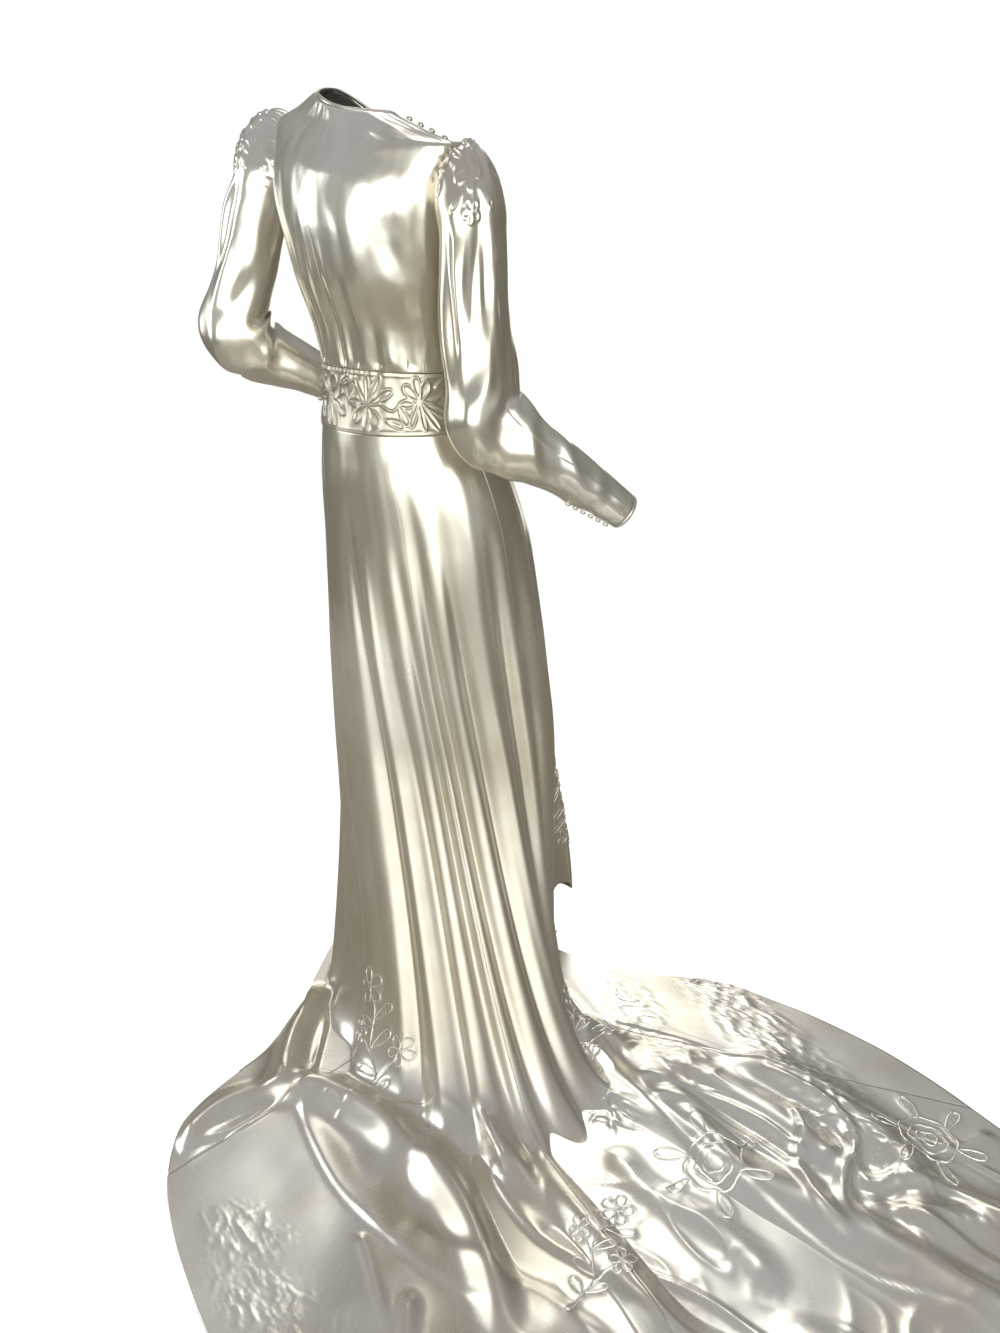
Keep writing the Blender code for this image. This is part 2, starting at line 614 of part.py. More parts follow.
def front_bodice(name, columns, ups):
    """The front bodice, in one piece from side to side."""
    share, up = np.meshgrid(even(-1, 1, columns), ups)
    angle = 180 + (180 - armhole_edge(up, -1)) * share
    points = bodice_surface(angle, up)
    outwards = normals(bodice_surface, angle, up, 1)
    return wall(name, parted(points, False), outwards, CLOTH)


def loop(surface, count, along, width, thickness, name, sign):
    """A closed narrow binding that carries a surface on past its edge."""
    around = np.arange(count) * 360 / count
    angle, place = np.meshgrid(around, np.array([along, along]))
    edge = surface(angle, place)
    outwards = normals(surface, angle, place, sign)
    before = surface(angle[:1], place[:1] - 0.004)
    heading = edge[0] - before[0]
    heading /= np.linalg.norm(heading, axis=-1, keepdims=True)
    points = np.stack([edge[0] + heading * SEAM, edge[0] + heading * (SEAM + width)])
    outwards = np.stack([outwards[0], outwards[0]])
    return wall(name, points + outwards * (thickness - CLOTH) / 2, outwards, thickness, closed=True)


def seat(panel, place, outwards):
    """Where a line through a place meets a built panel, and the way the face there looks."""
    mesh = bpy.data.objects[panel].data
    corners = [vertex.co for vertex in mesh.vertices]
    tree = BVHTree.FromPolygons(corners, [face.vertices[:] for face in mesh.polygons])
    start = Vector(lowered(place) + outwards * 0.02)
    spot, normal, _, _ = tree.ray_cast(start, Vector(-outwards))
    return np.array(spot), np.array(normal)


def button(name, panel, place, outwards):
    """A small covered button, domed over a flat back that lies on a panel."""
    place, outwards = seat(panel, place, outwards)
    shape = bmesh.new()
    bmesh.ops.create_uvsphere(shape, u_segments=8, v_segments=4, radius=BUTTON_RADIUS)
    bmesh.ops.bisect_plane(
        shape,
        geom=shape.verts[:] + shape.edges[:] + shape.faces[:],
        plane_co=(0, 0, -BUTTON_RADIUS * 0.5),
        plane_no=(0, 0, -1),
        clear_outer=True,
    )
    rim = [edge for edge in shape.edges if edge.is_boundary]
    bmesh.ops.holes_fill(shape, edges=rim)
    flat = BUTTON_HEIGHT / (BUTTON_RADIUS * 1.5)
    for vertex in shape.verts:
        vertex.co.z = (vertex.co.z + BUTTON_RADIUS * 0.5) * flat
    mesh = bpy.data.meshes.new(name)
    shape.to_mesh(mesh)
    shape.free()
    mesh.shade_smooth()
    mesh.materials.append(satin())
    made = bpy.data.objects.new(name, mesh)
    up = np.array([0.0, 0.0, 1.0])
    axis = np.cross(up, outwards)
    length = np.linalg.norm(axis)
    made.rotation_mode = "AXIS_ANGLE"
    made.rotation_axis_angle = (
        math.atan2(length, float(outwards[2])),
        *(axis / length if length > 1e-9 else (1, 0, 0)),
    )
    made.location = place + outwards * BUTTON_SEAT
    bpy.context.scene.collection.objects.link(made)
    return made


def build_bodice():
    ups = np.array(BODICE_ROWS)
    back_bodice("bodice_back_right", 1, 19, ups)
    back_bodice("bodice_back_left", -1, 19, ups)
    front_bodice("bodice_front", 27, ups)
    loop(bodice_surface, 36, 1.0, BINDING_WIDTH, BINDING, "neck_binding", 1)


def build_band():
    for name, first, last in (("waistband_back", -90, 90), ("waistband_front", 90, 270)):
        angle, up = np.meshgrid(even(first, last, 43), even(BAND_EDGE, 1 - BAND_EDGE, 8))
        points = parted(band_surface(angle, up), False)
        outwards = normals(band_surface, angle, up, 1)
        wall(name, points + outwards * 0.0005, outwards, BAND_CLOTH, relief=band_relief(angle, up))


def build_skirt():
    for name, (first, last, columns) in SKIRT_PANELS.items():
        front = name == "skirt_front"
        rows = np.array(ROWS_HANGING if front else ROWS_HANGING + ROWS_LANDING)
        angle, down = np.meshgrid(even(first, last, columns), rows)
        if front:
            corner = ease((np.abs(even(-1, 1, columns)) - 0.6) / 0.4)
            down[-1] += FRONT_HEM_DROP * (1 - corner)
        points = parted(skirt_surface(angle, down), False)
        outwards = normals(skirt_surface, angle, down, -1)
        wall(name, points, outwards, CLOTH, relief=skirt_relief(angle, down))


def build_sleeves():
    for word, arm, side in (("right", RIGHT_ARM, -1), ("left", LEFT_ARM, 1)):
        surface = sleeve_surface(arm, side)
        sign = -side
        pieces = (
            ("upper", (0.0, 0.04, 0.09, 0.15, 0.22, 0.30, 0.39, 0.48, 0.54, SLEEVE_SPLIT)),
            ("lower", (SLEEVE_SPLIT, 0.65, 0.70, 0.76, 0.83, 0.91, 1.0)),
        )
        for part, rows in pieces:
            around = np.arange(SLEEVE_SIDES) * 360 / SLEEVE_SIDES
            angle, along = np.meshgrid(around, np.array(rows))
            points = parted(surface(angle, along), True)
            outwards = normals(surface, angle, along, sign)
            relief = cap_relief(angle, along) if part == "upper" else 0.0 * angle
            wall(f"sleeve_{part}_{word}", points, outwards, CLOTH, closed=True, relief=relief)
        loop(surface, SLEEVE_SIDES, 1.0, CUFF_WIDTH, BINDING, f"cuff_{word}", sign)


def build_buttons():
    for word, arm, side in (("right", RIGHT_ARM, -1), ("left", LEFT_ARM, 1)):
        surface = sleeve_surface(arm, side)
        arm_length = 0.62
        for number in range(6):
            along = np.array(0.985 - number * WRIST_BUTTON_STEP / arm_length)
            around = np.array(WRIST_BUTTONS_AT)
            outwards = normals(surface, around, along, -side)
            panel = f"sleeve_lower_{word}"
            button(f"wrist_button_{word}_{number + 1}", panel, surface(around, along), outwards)
    for number in range(5):
        up, angle = np.array(0.965 - number * 0.034), np.array(ARMHOLE_AT_DEG + 9)
        outwards = normals(bodice_surface, angle, up, 1)
        button(f"shoulder_button_{number + 1}", "bodice_front", bodice_surface(angle, up), outwards)


def main():
    for thing in list(bpy.data.objects):
        bpy.data.objects.remove(thing, do_unlink=True)
    build_bodice()
    build_band()
    build_skirt()
    build_sleeves()
    build_buttons()


main()
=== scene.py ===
"""A wedding dress of glossy satin with raised corded work and a long train.

Each piece of cloth is built on the same surface as its solid, on a finer grid, with its
gathers, creases, corded flowers and turned edges added. Metres, +Z up; the wearer faces -Y.
"""

import math

import bmesh
import bpy
import numpy as np
from mathutils import Matrix, Vector
from mathutils.bvhtree import BVHTree


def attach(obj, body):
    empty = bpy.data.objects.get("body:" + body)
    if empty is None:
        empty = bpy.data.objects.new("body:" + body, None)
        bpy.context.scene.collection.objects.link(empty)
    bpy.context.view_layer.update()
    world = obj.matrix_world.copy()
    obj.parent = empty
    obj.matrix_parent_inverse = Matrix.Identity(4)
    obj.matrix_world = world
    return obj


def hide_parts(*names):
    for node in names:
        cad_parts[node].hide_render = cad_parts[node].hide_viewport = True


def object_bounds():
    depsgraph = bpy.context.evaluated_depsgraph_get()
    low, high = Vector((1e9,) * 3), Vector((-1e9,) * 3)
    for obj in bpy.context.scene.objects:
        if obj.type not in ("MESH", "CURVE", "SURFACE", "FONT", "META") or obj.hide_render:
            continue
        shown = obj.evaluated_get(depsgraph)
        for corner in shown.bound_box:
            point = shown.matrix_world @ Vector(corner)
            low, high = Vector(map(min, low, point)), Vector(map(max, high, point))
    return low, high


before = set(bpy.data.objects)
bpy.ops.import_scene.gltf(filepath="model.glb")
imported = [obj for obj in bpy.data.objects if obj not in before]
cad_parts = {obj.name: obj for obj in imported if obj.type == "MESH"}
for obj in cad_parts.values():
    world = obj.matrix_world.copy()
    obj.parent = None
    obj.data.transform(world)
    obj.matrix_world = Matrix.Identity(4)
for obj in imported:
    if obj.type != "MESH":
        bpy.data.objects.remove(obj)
CAD_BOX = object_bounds()

# Main sizes

HOLD_HEIGHT = 1.5  # height of the origin above the floor
CLOTH = 0.002  # satin with its seam allowances, as one wall
SEAM = 0.0003  # gap between two pieces that are sewn together
BINDING = 0.003  # thickness of the bindings
BINDING_WIDTH = 0.006  # how far a binding carries its edge on
BUTTON_RADIUS = 0.0046

# Bodice rings, from the waist seam up to the neck. "up" runs along the panels, and "tilt" is
# the rise towards the left for each metre across, because the left shoulder is raised.
BODICE_COLUMNS = (
    "up", "half_width", "back", "front", "x_mid", "y_mid", "z_back", "z_side", "z_front", "tilt",
)
BODICE_RINGS = {
    "waist": (0.0, 0.131, 0.099, 0.104, 0.0, 0.008, 1.176, 1.172, 1.17, 0.0),
    "midriff": (0.16, 0.138, 0.106, 0.116, 0.0, 0.013, 1.236, 1.232, 1.23, 0.0),
    "bust": (0.34, 0.156, 0.121, 0.147, 0.0, 0.024, 1.312, 1.3, 1.292, 0.02),
    "underarm": (0.46, 0.164, 0.124, 0.142, 0.0, 0.032, 1.372, 1.352, 1.346, 0.08),
    "blades": (0.62, 0.176, 0.112, 0.112, 0.0, 0.042, 1.436, 1.428, 1.412, 0.14),
    "shoulder": (0.8, 0.184, 0.084, 0.074, 0.0, 0.046, 1.482, 1.497, 1.462, 0.15),
    "yoke": (0.91, 0.12, 0.069, 0.062, 0.004, 0.046, 1.507, 1.519, 1.486, 0.2),
    "neck": (1.0, 0.064, 0.059, 0.056, 0.01, 0.047, 1.527, 1.536, 1.508, 0.3),
}
ARMHOLE_LOW, ARMHOLE_HIGH = 0.47, 0.8  # where the armhole starts and ends along "up"
ARMHOLE_AT_DEG = 99.0  # its middle line, which lies a little in front of the side seam
ARMHOLE_HALF_DEG = 25.0  # half its width, as an angle round the body
ARMHOLE_FULLNESS = 0.55  # under 1 rounds the armhole's ends

# Gathers of the bodice at the waist seam: angle from the centre back towards the right, width
# in degrees, height, and reach going up
BACK_GATHERS = (
    (-42, 4.4, 0.0022, 0.26),
    (-31, 3.6, 0.003, 0.34),
    (-21, 3.2, 0.0026, 0.22),
    (-12, 3.4, 0.0036, 0.4),
    (-3, 3.0, 0.0028, 0.3),
    (6, 3.4, 0.0038, 0.44),
    (15, 3.0, 0.003, 0.28),
    (24, 3.6, 0.0034, 0.38),
    (35, 4.2, 0.0026, 0.26),
    (48, 4.8, 0.002, 0.2),
)
FRONT_GATHERS = (
    (146, 5.0, 0.003, 0.3),
    (157, 5.0, 0.0036, 0.38),
    (168, 5.0, 0.003, 0.28),
    (192, 5.0, 0.003, 0.3),
    (203, 5.0, 0.0036, 0.36),
    (214, 5.0, 0.003, 0.28),
)

# Skirt rings, from the waistband down. "sweep" is how far the back turns to the right.
SKIRT_COLUMNS = ("down", "z", "half_width", "half_depth", "y_mid", "sweep_deg")
SKIRT_RINGS = {
    "band": (0.0, 1.094, 0.149, 0.118, -0.002, 0.0),
    "high_hip": (0.09, 1.01, 0.172, 0.144, -0.024, 1.0),
    "hip": (0.18, 0.9, 0.186, 0.164, -0.046, 3.0),
    "thigh": (0.29, 0.74, 0.194, 0.184, -0.06, 9.0),
    "knee": (0.4, 0.56, 0.203, 0.202, -0.073, 17.0),
}
BAND_DROP_BACK = 0.01  # how much lower the band's bottom edge is at the centre back
TOUCH_AT = 0.72  # where the cloth meets the floor, along "down"
FALL_STEEPNESS = 1.15  # how straight down the cloth leaves the knee ring
FALL_FLATNESS = 1.1  # how gently it runs out on to the floor

# Where each line of the skirt meets the floor and where its hem lies, by the line's angle at
# the waist from the centre back towards the right. The front's lines end above the floor.
FLOOR_COLUMNS = ("at_deg", "touch_x", "touch_y", "hem_x", "hem_y", "hem_z")
FLOOR_LINES = (
    (-180, 0.0, -0.34, 0.0, -0.35, 0.03),
    (-160, 0.088, -0.328, 0.09, -0.34, 0.026),
    (-140, 0.15, -0.275, 0.158, -0.284, 0.018),
    (-122, 0.182, -0.185, 0.192, -0.186, 0.006),
    (-108, 0.186, -0.095, 0.2, -0.072, 0.003),
    (-94, 0.176, 0.016, 0.186, 0.052, 0.003),
    (-82, 0.142, 0.106, 0.112, 0.182, 0.003),
    (-70, 0.084, 0.176, 0.01, 0.306, 0.003),
    (-58, 0.02, 0.226, -0.004, 0.44, 0.003),
    (-46, -0.05, 0.258, -0.034, 0.548, 0.003),
    (-34, -0.12, 0.292, -0.11, 0.622, 0.003),
    (-22, -0.196, 0.31, -0.262, 0.682, 0.003),
    (-10, -0.276, 0.31, -0.48, 0.716, 0.003),
    (2, -0.356, 0.292, -0.76, 0.716, 0.003),
    (14, -0.43, 0.258, -1.04, 0.66, 0.003),
    (26, -0.494, 0.21, -1.28, 0.53, 0.003),
    (38, -0.536, 0.15, -1.43, 0.33, 0.003),
    (50, -0.546, 0.084, -1.48, 0.09, 0.003),
    (62, -0.52, 0.02, -1.42, -0.13, 0.003),
    (74, -0.456, -0.036, -1.27, -0.3, 0.003),
    (86, -0.378, -0.082, -1.03, -0.388, 0.003),
    (98, -0.306, -0.116, -0.78, -0.424, 0.003),
    (110, -0.246, -0.144, -0.52, -0.386, 0.003),
    (122, -0.196, -0.172, -0.31, -0.262, 0.003),
    (134, -0.152, -0.208, -0.168, -0.216, 0.003),
    (142, -0.132, -0.252, -0.138, -0.262, 0.008),
    (150, -0.128, -0.318, -0.132, -0.326, 0.022),
    (163, -0.084, -0.336, -0.088, -0.344, 0.028),
    (180, 0.0, -0.34, 0.0, -0.35, 0.03),
)

# Long hanging folds of the skirt: angle and width in degrees, depth, and the places on the way
# down where each starts, is full and ends. A negative depth is a valley between two ridges.
SKIRT_FOLDS = (
    (-172, 7.0, -0.012, 0.16, 0.5, 1.1),
    (-150, 6.0, -0.014, 0.12, 0.46, 1.1),
    (-126, 6.5, -0.012, 0.2, 0.52, 0.95),
    (-104, 6.0, -0.014, 0.16, 0.5, 0.9),
    (-82, 5.0, -0.016, 0.1, 0.46, 0.86),
    (-62, 5.0, -0.014, 0.2, 0.5, 0.84),
    (-38, 5.5, -0.01, 0.3, 0.56, 0.82),
    (-2, 3.6, -0.014, 0.08, 0.42, 0.88),
    (7, 2.8, 0.006, 0.1, 0.4, 0.8),
    (15, 3.2, -0.012, 0.16, 0.5, 0.9),
    (27, 3.2, -0.013, 0.12, 0.44, 0.94),
    (38, 3.4, -0.014, 0.05, 0.4, 0.92),
    (53, 4.2, -0.015, 0.1, 0.42, 0.9),
    (66, 4.0, 0.007, 0.18, 0.46, 0.84),
    (80, 4.6, -0.015, 0.1, 0.4, 0.84),
    (98, 5.0, -0.013, 0.14, 0.46, 0.82),
    (120, 6.0, -0.014, 0.14, 0.5, 0.8),
    (144, 6.0, -0.012, 0.14, 0.5, 1.1),
    (166, 6.5, -0.013, 0.16, 0.5, 1.1),
)

# Ridges of the train on the floor, each a soft roll: x and y of its two ends, how far it bows
# to the left of its heading, width and height
TRAIN_ROLLS = (
    (0.06, 0.2, -0.1, 0.4, -0.02, 0.026, 0.03),
    (-0.1, 0.4, -0.07, 0.572, -0.03, 0.024, 0.02),
    (-0.09, 0.37, -0.64, 0.405, 0.07, 0.034, 0.03),
    (-0.64, 0.405, -1.2, 0.43, -0.02, 0.05, 0.024),
    (-0.38, 0.225, -0.81, 0.268, 0.02, 0.034, 0.024),
    (-0.81, 0.268, -1.33, 0.2, 0.015, 0.05, 0.02),
    (-0.35, -0.09, -0.74, -0.012, 0.02, 0.03, 0.022),
    (-0.74, -0.012, -1.3, -0.07, 0.02, 0.045, 0.024),
    (-0.5, -0.12, -0.86, -0.13, 0.02, 0.036, 0.022),
    (-0.62, -0.22, -0.96, -0.2, 0.03, 0.04, 0.024),
    (-0.96, -0.13, -1.16, -0.3, -0.02, 0.045, 0.022),
    (-0.33, 0.33, -0.52, 0.56, 0.02, 0.05, 0.014),
    (-0.62, 0.52, -0.9, 0.64, 0.01, 0.05, 0.014),
)

# Skirt panels: the angles of the two edges, then the columns of the grid, its rows over the
# hanging part and its rows over the part that lands or lies
SKIRT_PANELS = {
    "skirt_front": (142, 218, 92, 200, 0),
    "skirt_side_left": (218, 262, 70, 140, 60),
    "skirt_back_left": (-98, -34, 130, 150, 110),
    "skirt_back_centre": (-34, 32, 200, 150, 190),
    "skirt_back_right": (32, 90, 200, 150, 190),
    "skirt_side_right": (90, 142, 120, 140, 120),
}
LANDS_AT = 0.66  # where the rows for the landing part start, along "down"
FRONT_HEM_DROP = 0.035  # how much lower the front hem is at its middle than at its corners

# Sleeves: the line through shoulder, elbow and wrist, on each side
SLEEVE_COLUMNS = ("along", "x", "y", "z")
RIGHT_ARM = (
    (0.0, -0.206, 0.04, 1.462),
    (0.22, -0.219, 0.044, 1.362),
    (0.42, -0.23, 0.049, 1.24),
    (0.58, -0.243, 0.048, 1.14),
    (0.68, -0.262, 0.006, 1.092),
    (0.84, -0.3, -0.07, 1.036),
    (1.0, -0.339, -0.153, 0.972),
)
LEFT_ARM = (
    (0.0, 0.202, 0.048, 1.505),
    (0.22, 0.23, 0.072, 1.43),
    (0.42, 0.252, 0.098, 1.326),
    (0.58, 0.276, 0.116, 1.232),
    (0.68, 0.27, 0.082, 1.19),
    (0.84, 0.23, 0.006, 1.142),
    (1.0, 0.19, -0.07, 1.104),
)
# Half the sleeve's width towards the outside of the arm and towards its back
GIRTH_COLUMNS = ("along", "outer", "back")
SLEEVE_GIRTH = (
    (0.0, 0.05, 0.06),
    (0.1, 0.049, 0.057),
    (0.24, 0.041, 0.049),
    (0.4, 0.044, 0.05),
    (0.52, 0.048, 0.052),
    (0.62, 0.052, 0.055),
    (0.74, 0.046, 0.047),
    (0.88, 0.036, 0.037),
    (1.0, 0.027, 0.029),
)
CAP_LENGTH = 0.2  # part of the sleeve over which its head opens out from the armhole
CAP_RISE = {-1: 0.014, 1: 0.03}  # how far the puffed head stands above each shoulder
CAP_SPREAD = {-1: 0.006, 1: 0.036}  # and how far out it stands
UNDERARM_CLEAR = 0.006  # how far its lower half stands off the bodice
CAP_GATHERS = 14  # all round, though only the upper ones stand up
CAP_GATHER_HEIGHT = 0.003

# Folds across the sleeve where the arm bends, and along it: place along the arm, angle round
# it, length, width in degrees and height
SLEEVE_FOLDS = (
    (0.66, 95, 0.17, 50, 0.013),
    (0.3, 70, 0.2, 12, 0.006),
    (0.34, 20, 0.22, 10, -0.006),
    (0.4, 130, 0.18, 12, 0.005),
    (0.5, 300, 0.14, 14, 0.006),
    (0.57, 240, 0.07, 40, -0.007),
    (0.62, 215, 0.05, 44, 0.006),
    (0.66, 250, 0.05, 40, -0.006),
    (0.58, 60, 0.1, 18, 0.006),
    (0.64, 20, 0.08, 20, -0.005),
    (0.74, 330, 0.12, 16, 0.0045),
    (0.8, 90, 0.1, 18, -0.0045),
    (0.88, 200, 0.06, 34, 0.004),
    (0.93, 30, 0.05, 40, -0.003),
)


def table(rows, columns):
    """A table's columns by name, as arrays."""
    return {name: np.array(values, float) for name, values in zip(columns, zip(*rows))}


BODICE = table(BODICE_RINGS.values(), BODICE_COLUMNS)
SKIRT = table(SKIRT_RINGS.values(), SKIRT_COLUMNS)
FLOOR = table(FLOOR_LINES, FLOOR_COLUMNS)


def slopes(at, values):
    """Slopes through a table's points that never overshoot them."""
    steps = np.diff(at)
    rates = np.diff(values) / steps
    inner = np.where(
        rates[:-1] * rates[1:] > 0,
        2 * rates[:-1] * rates[1:] / np.where(rates[:-1] + rates[1:] == 0, 1, rates[:-1] + rates[1:]),
        0,
    )
    return np.concatenate([rates[:1], inner, rates[-1:]])


def smooth(at, values, x):
    """A smooth curve through the points of a table, read at x."""
    slope = slopes(at, values)
    x = np.clip(x, at[0], at[-1])
    i = np.clip(np.searchsorted(at, x, side="right") - 1, 0, len(at) - 2)
    step = at[i + 1] - at[i]
    t = (x - at[i]) / step
    start = values[i] * (1 + 2 * t) * (1 - t) ** 2 + slope[i] * step * t * (1 - t) ** 2
    end = values[i + 1] * t**2 * (3 - 2 * t) - slope[i + 1] * step * t**2 * (1 - t)
    return start + end


def ease(x):
    """0 up to x = 0, 1 from x = 1, and a soft step between."""
    x = np.clip(x, 0, 1)
    return x * x * (3 - 2 * x)


def bump(x):
    """A soft hump, 1 at 0."""
    return np.exp(-(x**2))


def window(place, start, full, end, fade):
    """0 up to start, 1 from full on, and 0 again from end, after a fade."""
    return ease((place - start) / (full - start)) * (1 - ease((place - end + fade) / fade))


def unit(vectors):
    """Vectors brought to length 1."""
    return vectors / np.maximum(np.linalg.norm(vectors, axis=-1, keepdims=True), 1e-12)


def heading_of(turn_deg):
    """The two parts of a direction in a plane."""
    return math.cos(math.radians(turn_deg)), math.sin(math.radians(turn_deg))


def turn_from(angle, centre):
    """The angle from a centre, in degrees, between -180 and 180."""
    return (angle - centre + 180) % 360 - 180


def gathered(angle, up, gathers):
    """Height of the gathers at the waist seam."""
    rise = 0
    for at_deg, width_deg, height, reach in gathers:
        rise = rise + height * bump(turn_from(angle, at_deg) / width_deg) * (1 - ease(up / reach))
    return rise


def bodice_surface(angle, up):
    """The bodice at an angle from the centre back towards the right, in degrees."""
    ring = {name: smooth(BODICE["up"], BODICE[name], up) for name in BODICE_COLUMNS[1:]}
    sine, cosine = np.sin(np.radians(angle)), np.cos(np.radians(angle))
    depth = np.where(cosine > 0, ring["back"], ring["front"])
    z_middle = np.where(cosine > 0, ring["z_back"], ring["z_front"])
    rise = gathered(angle, up, BACK_GATHERS) + gathered(angle, up, FRONT_GATHERS)
    x = ring["x_mid"] - (ring["half_width"] + rise) * sine
    y = ring["y_mid"] + (depth + rise) * cosine
    z = ring["z_side"] * sine**2 + z_middle * cosine**2 + ring["tilt"] * x
    return np.stack([x, y, z], axis=-1)


def armhole_edge(up, to_back):
    """The angle from the centre back at which a panel ends: at the armhole's back edge where
    to_back is 1 and at its front edge where it is -1, and at one line above and below it."""
    part = np.clip((up - ARMHOLE_LOW) / (ARMHOLE_HIGH - ARMHOLE_LOW), 0, 1)
    return ARMHOLE_AT_DEG - to_back * ARMHOLE_HALF_DEG * np.sin(math.pi * part) ** ARMHOLE_FULLNESS


def skirt_ring(angle, down):
    """The skirt down to the knee."""
    ring = {name: smooth(SKIRT["down"], SKIRT[name], down) for name in SKIRT_COLUMNS[1:]}
    turned = np.radians(angle + ring["sweep_deg"] * np.cos(np.radians(angle) / 2) ** 2)
    x = -ring["half_width"] * np.sin(turned)
    y = ring["y_mid"] + ring["half_depth"] * np.cos(turned)
    drop = BAND_DROP_BACK * np.cos(np.radians(angle) / 2) ** 2 * (1 - ease(down / 0.15))
    return x, y, ring["z"] - drop


def train_rise(x, y):
    """Height that the rolls add to the train at a place on the floor."""
    rise = 0
    for x0, y0, x1, y1, bow, width, height in TRAIN_ROLLS:
        length = math.hypot(x1 - x0, y1 - y0)
        ux, uy = (x1 - x0) / length, (y1 - y0) / length
        along = ((x - x0) * ux + (y - y0) * uy) / length
        across = (y - y0) * ux - (x - x0) * uy - 4 * bow * along * (1 - along)
        ends = ease((along + 0.12) / 0.24) * ease((1.12 - along) / 0.24)
        rise = rise + height * bump(across / width) * ends
    return rise


def skirt_base(angle, down):
    """The skirt and train without folds: rings down to the knee, a fall on to the floor, and
    then straight lines out to the hem."""
    line = {name: smooth(FLOOR["at_deg"], FLOOR[name], angle) for name in FLOOR_COLUMNS[1:]}
    knee_at = SKIRT["down"][-1]
    knee = np.stack(skirt_ring(angle, np.full_like(angle, knee_at)), axis=-1)
    above = np.stack(skirt_ring(angle, np.full_like(angle, knee_at - 0.02)), axis=-1)
    touch = np.stack([line["touch_x"], line["touch_y"], line["hem_z"] + CLOTH], axis=-1)
    hem = np.stack([line["hem_x"], line["hem_y"], line["hem_z"] + CLOTH], axis=-1)
    heading = unit(hem - touch)
    across = np.linalg.norm((touch - knee)[..., :2], axis=-1, keepdims=True)
    leave = (knee - above) / np.abs((knee - above)[..., 2:]) * (knee - touch)[..., 2:] * FALL_STEEPNESS
    lands = ease((0.014 - line["hem_z"]) / 0.01)[..., None]
    downwards = np.array([0.0, 0.0, -0.5])
    arrive = heading * across * FALL_FLATNESS * lands + downwards * (1 - lands)
    fall = np.clip((down - knee_at) / (TOUCH_AT - knee_at), 0, 1)[..., None]
    run = np.clip((down - TOUCH_AT) / (1 - TOUCH_AT), 0, 1)[..., None]
    fallen = knee * (1 + 2 * fall) * (1 - fall) ** 2 + leave * fall * (1 - fall) ** 2
    fallen = fallen + touch * fall**2 * (3 - 2 * fall) - arrive * fall**2 * (1 - fall)
    hung = np.stack(skirt_ring(angle, np.minimum(down, knee_at)), axis=-1)
    laid = touch + (hem - touch) * run
    points = np.where(down[..., None] > knee_at, fallen, hung)
    points = np.where(down[..., None] > TOUCH_AT, laid, points)
    points[..., 2] = np.maximum(points[..., 2], line["hem_z"] + CLOTH)
    return points


def fold_depth(angle, down):
    """How far the long folds carry the skirt outwards."""
    depth = 0
    for at_deg, width_deg, size, start, full, end in SKIRT_FOLDS:
        share = window(down, start, full, end, 0.14)
        depth = depth + size * bump(turn_from(angle, at_deg) / width_deg) * share
    return depth


def skirt_surface(angle, down):
    """The skirt and train at an angle round the waist and a place on the way down."""
    angle = turn_from(angle, 0)
    points = skirt_base(angle, down)
    outwards = normals(skirt_base, angle, down, -1)
    points = points + outwards * fold_depth(angle, down)[..., None]
    rests = ease((down - TOUCH_AT + 0.14) / 0.14) * ease((0.05 - points[..., 2]) / 0.03)
    points[..., 2] += rests * train_rise(points[..., 0], points[..., 1])
    points[..., 2] = np.maximum(points[..., 2], 0.003 + CLOTH)
    return points


def band_surface(angle, up):
    """The waistband, from the skirt's top edge at 0 to the bodice's at 1."""
    low = skirt_surface(angle, np.zeros_like(angle))
    high = bodice_surface(angle, np.zeros_like(angle))
    points = low + (high - low) * up[..., None]
    hollow = 0.004 * np.sin(math.pi * up)
    points[..., 0] += hollow * np.sin(np.radians(angle))
    points[..., 1] -= hollow * np.cos(np.radians(angle))
    return points


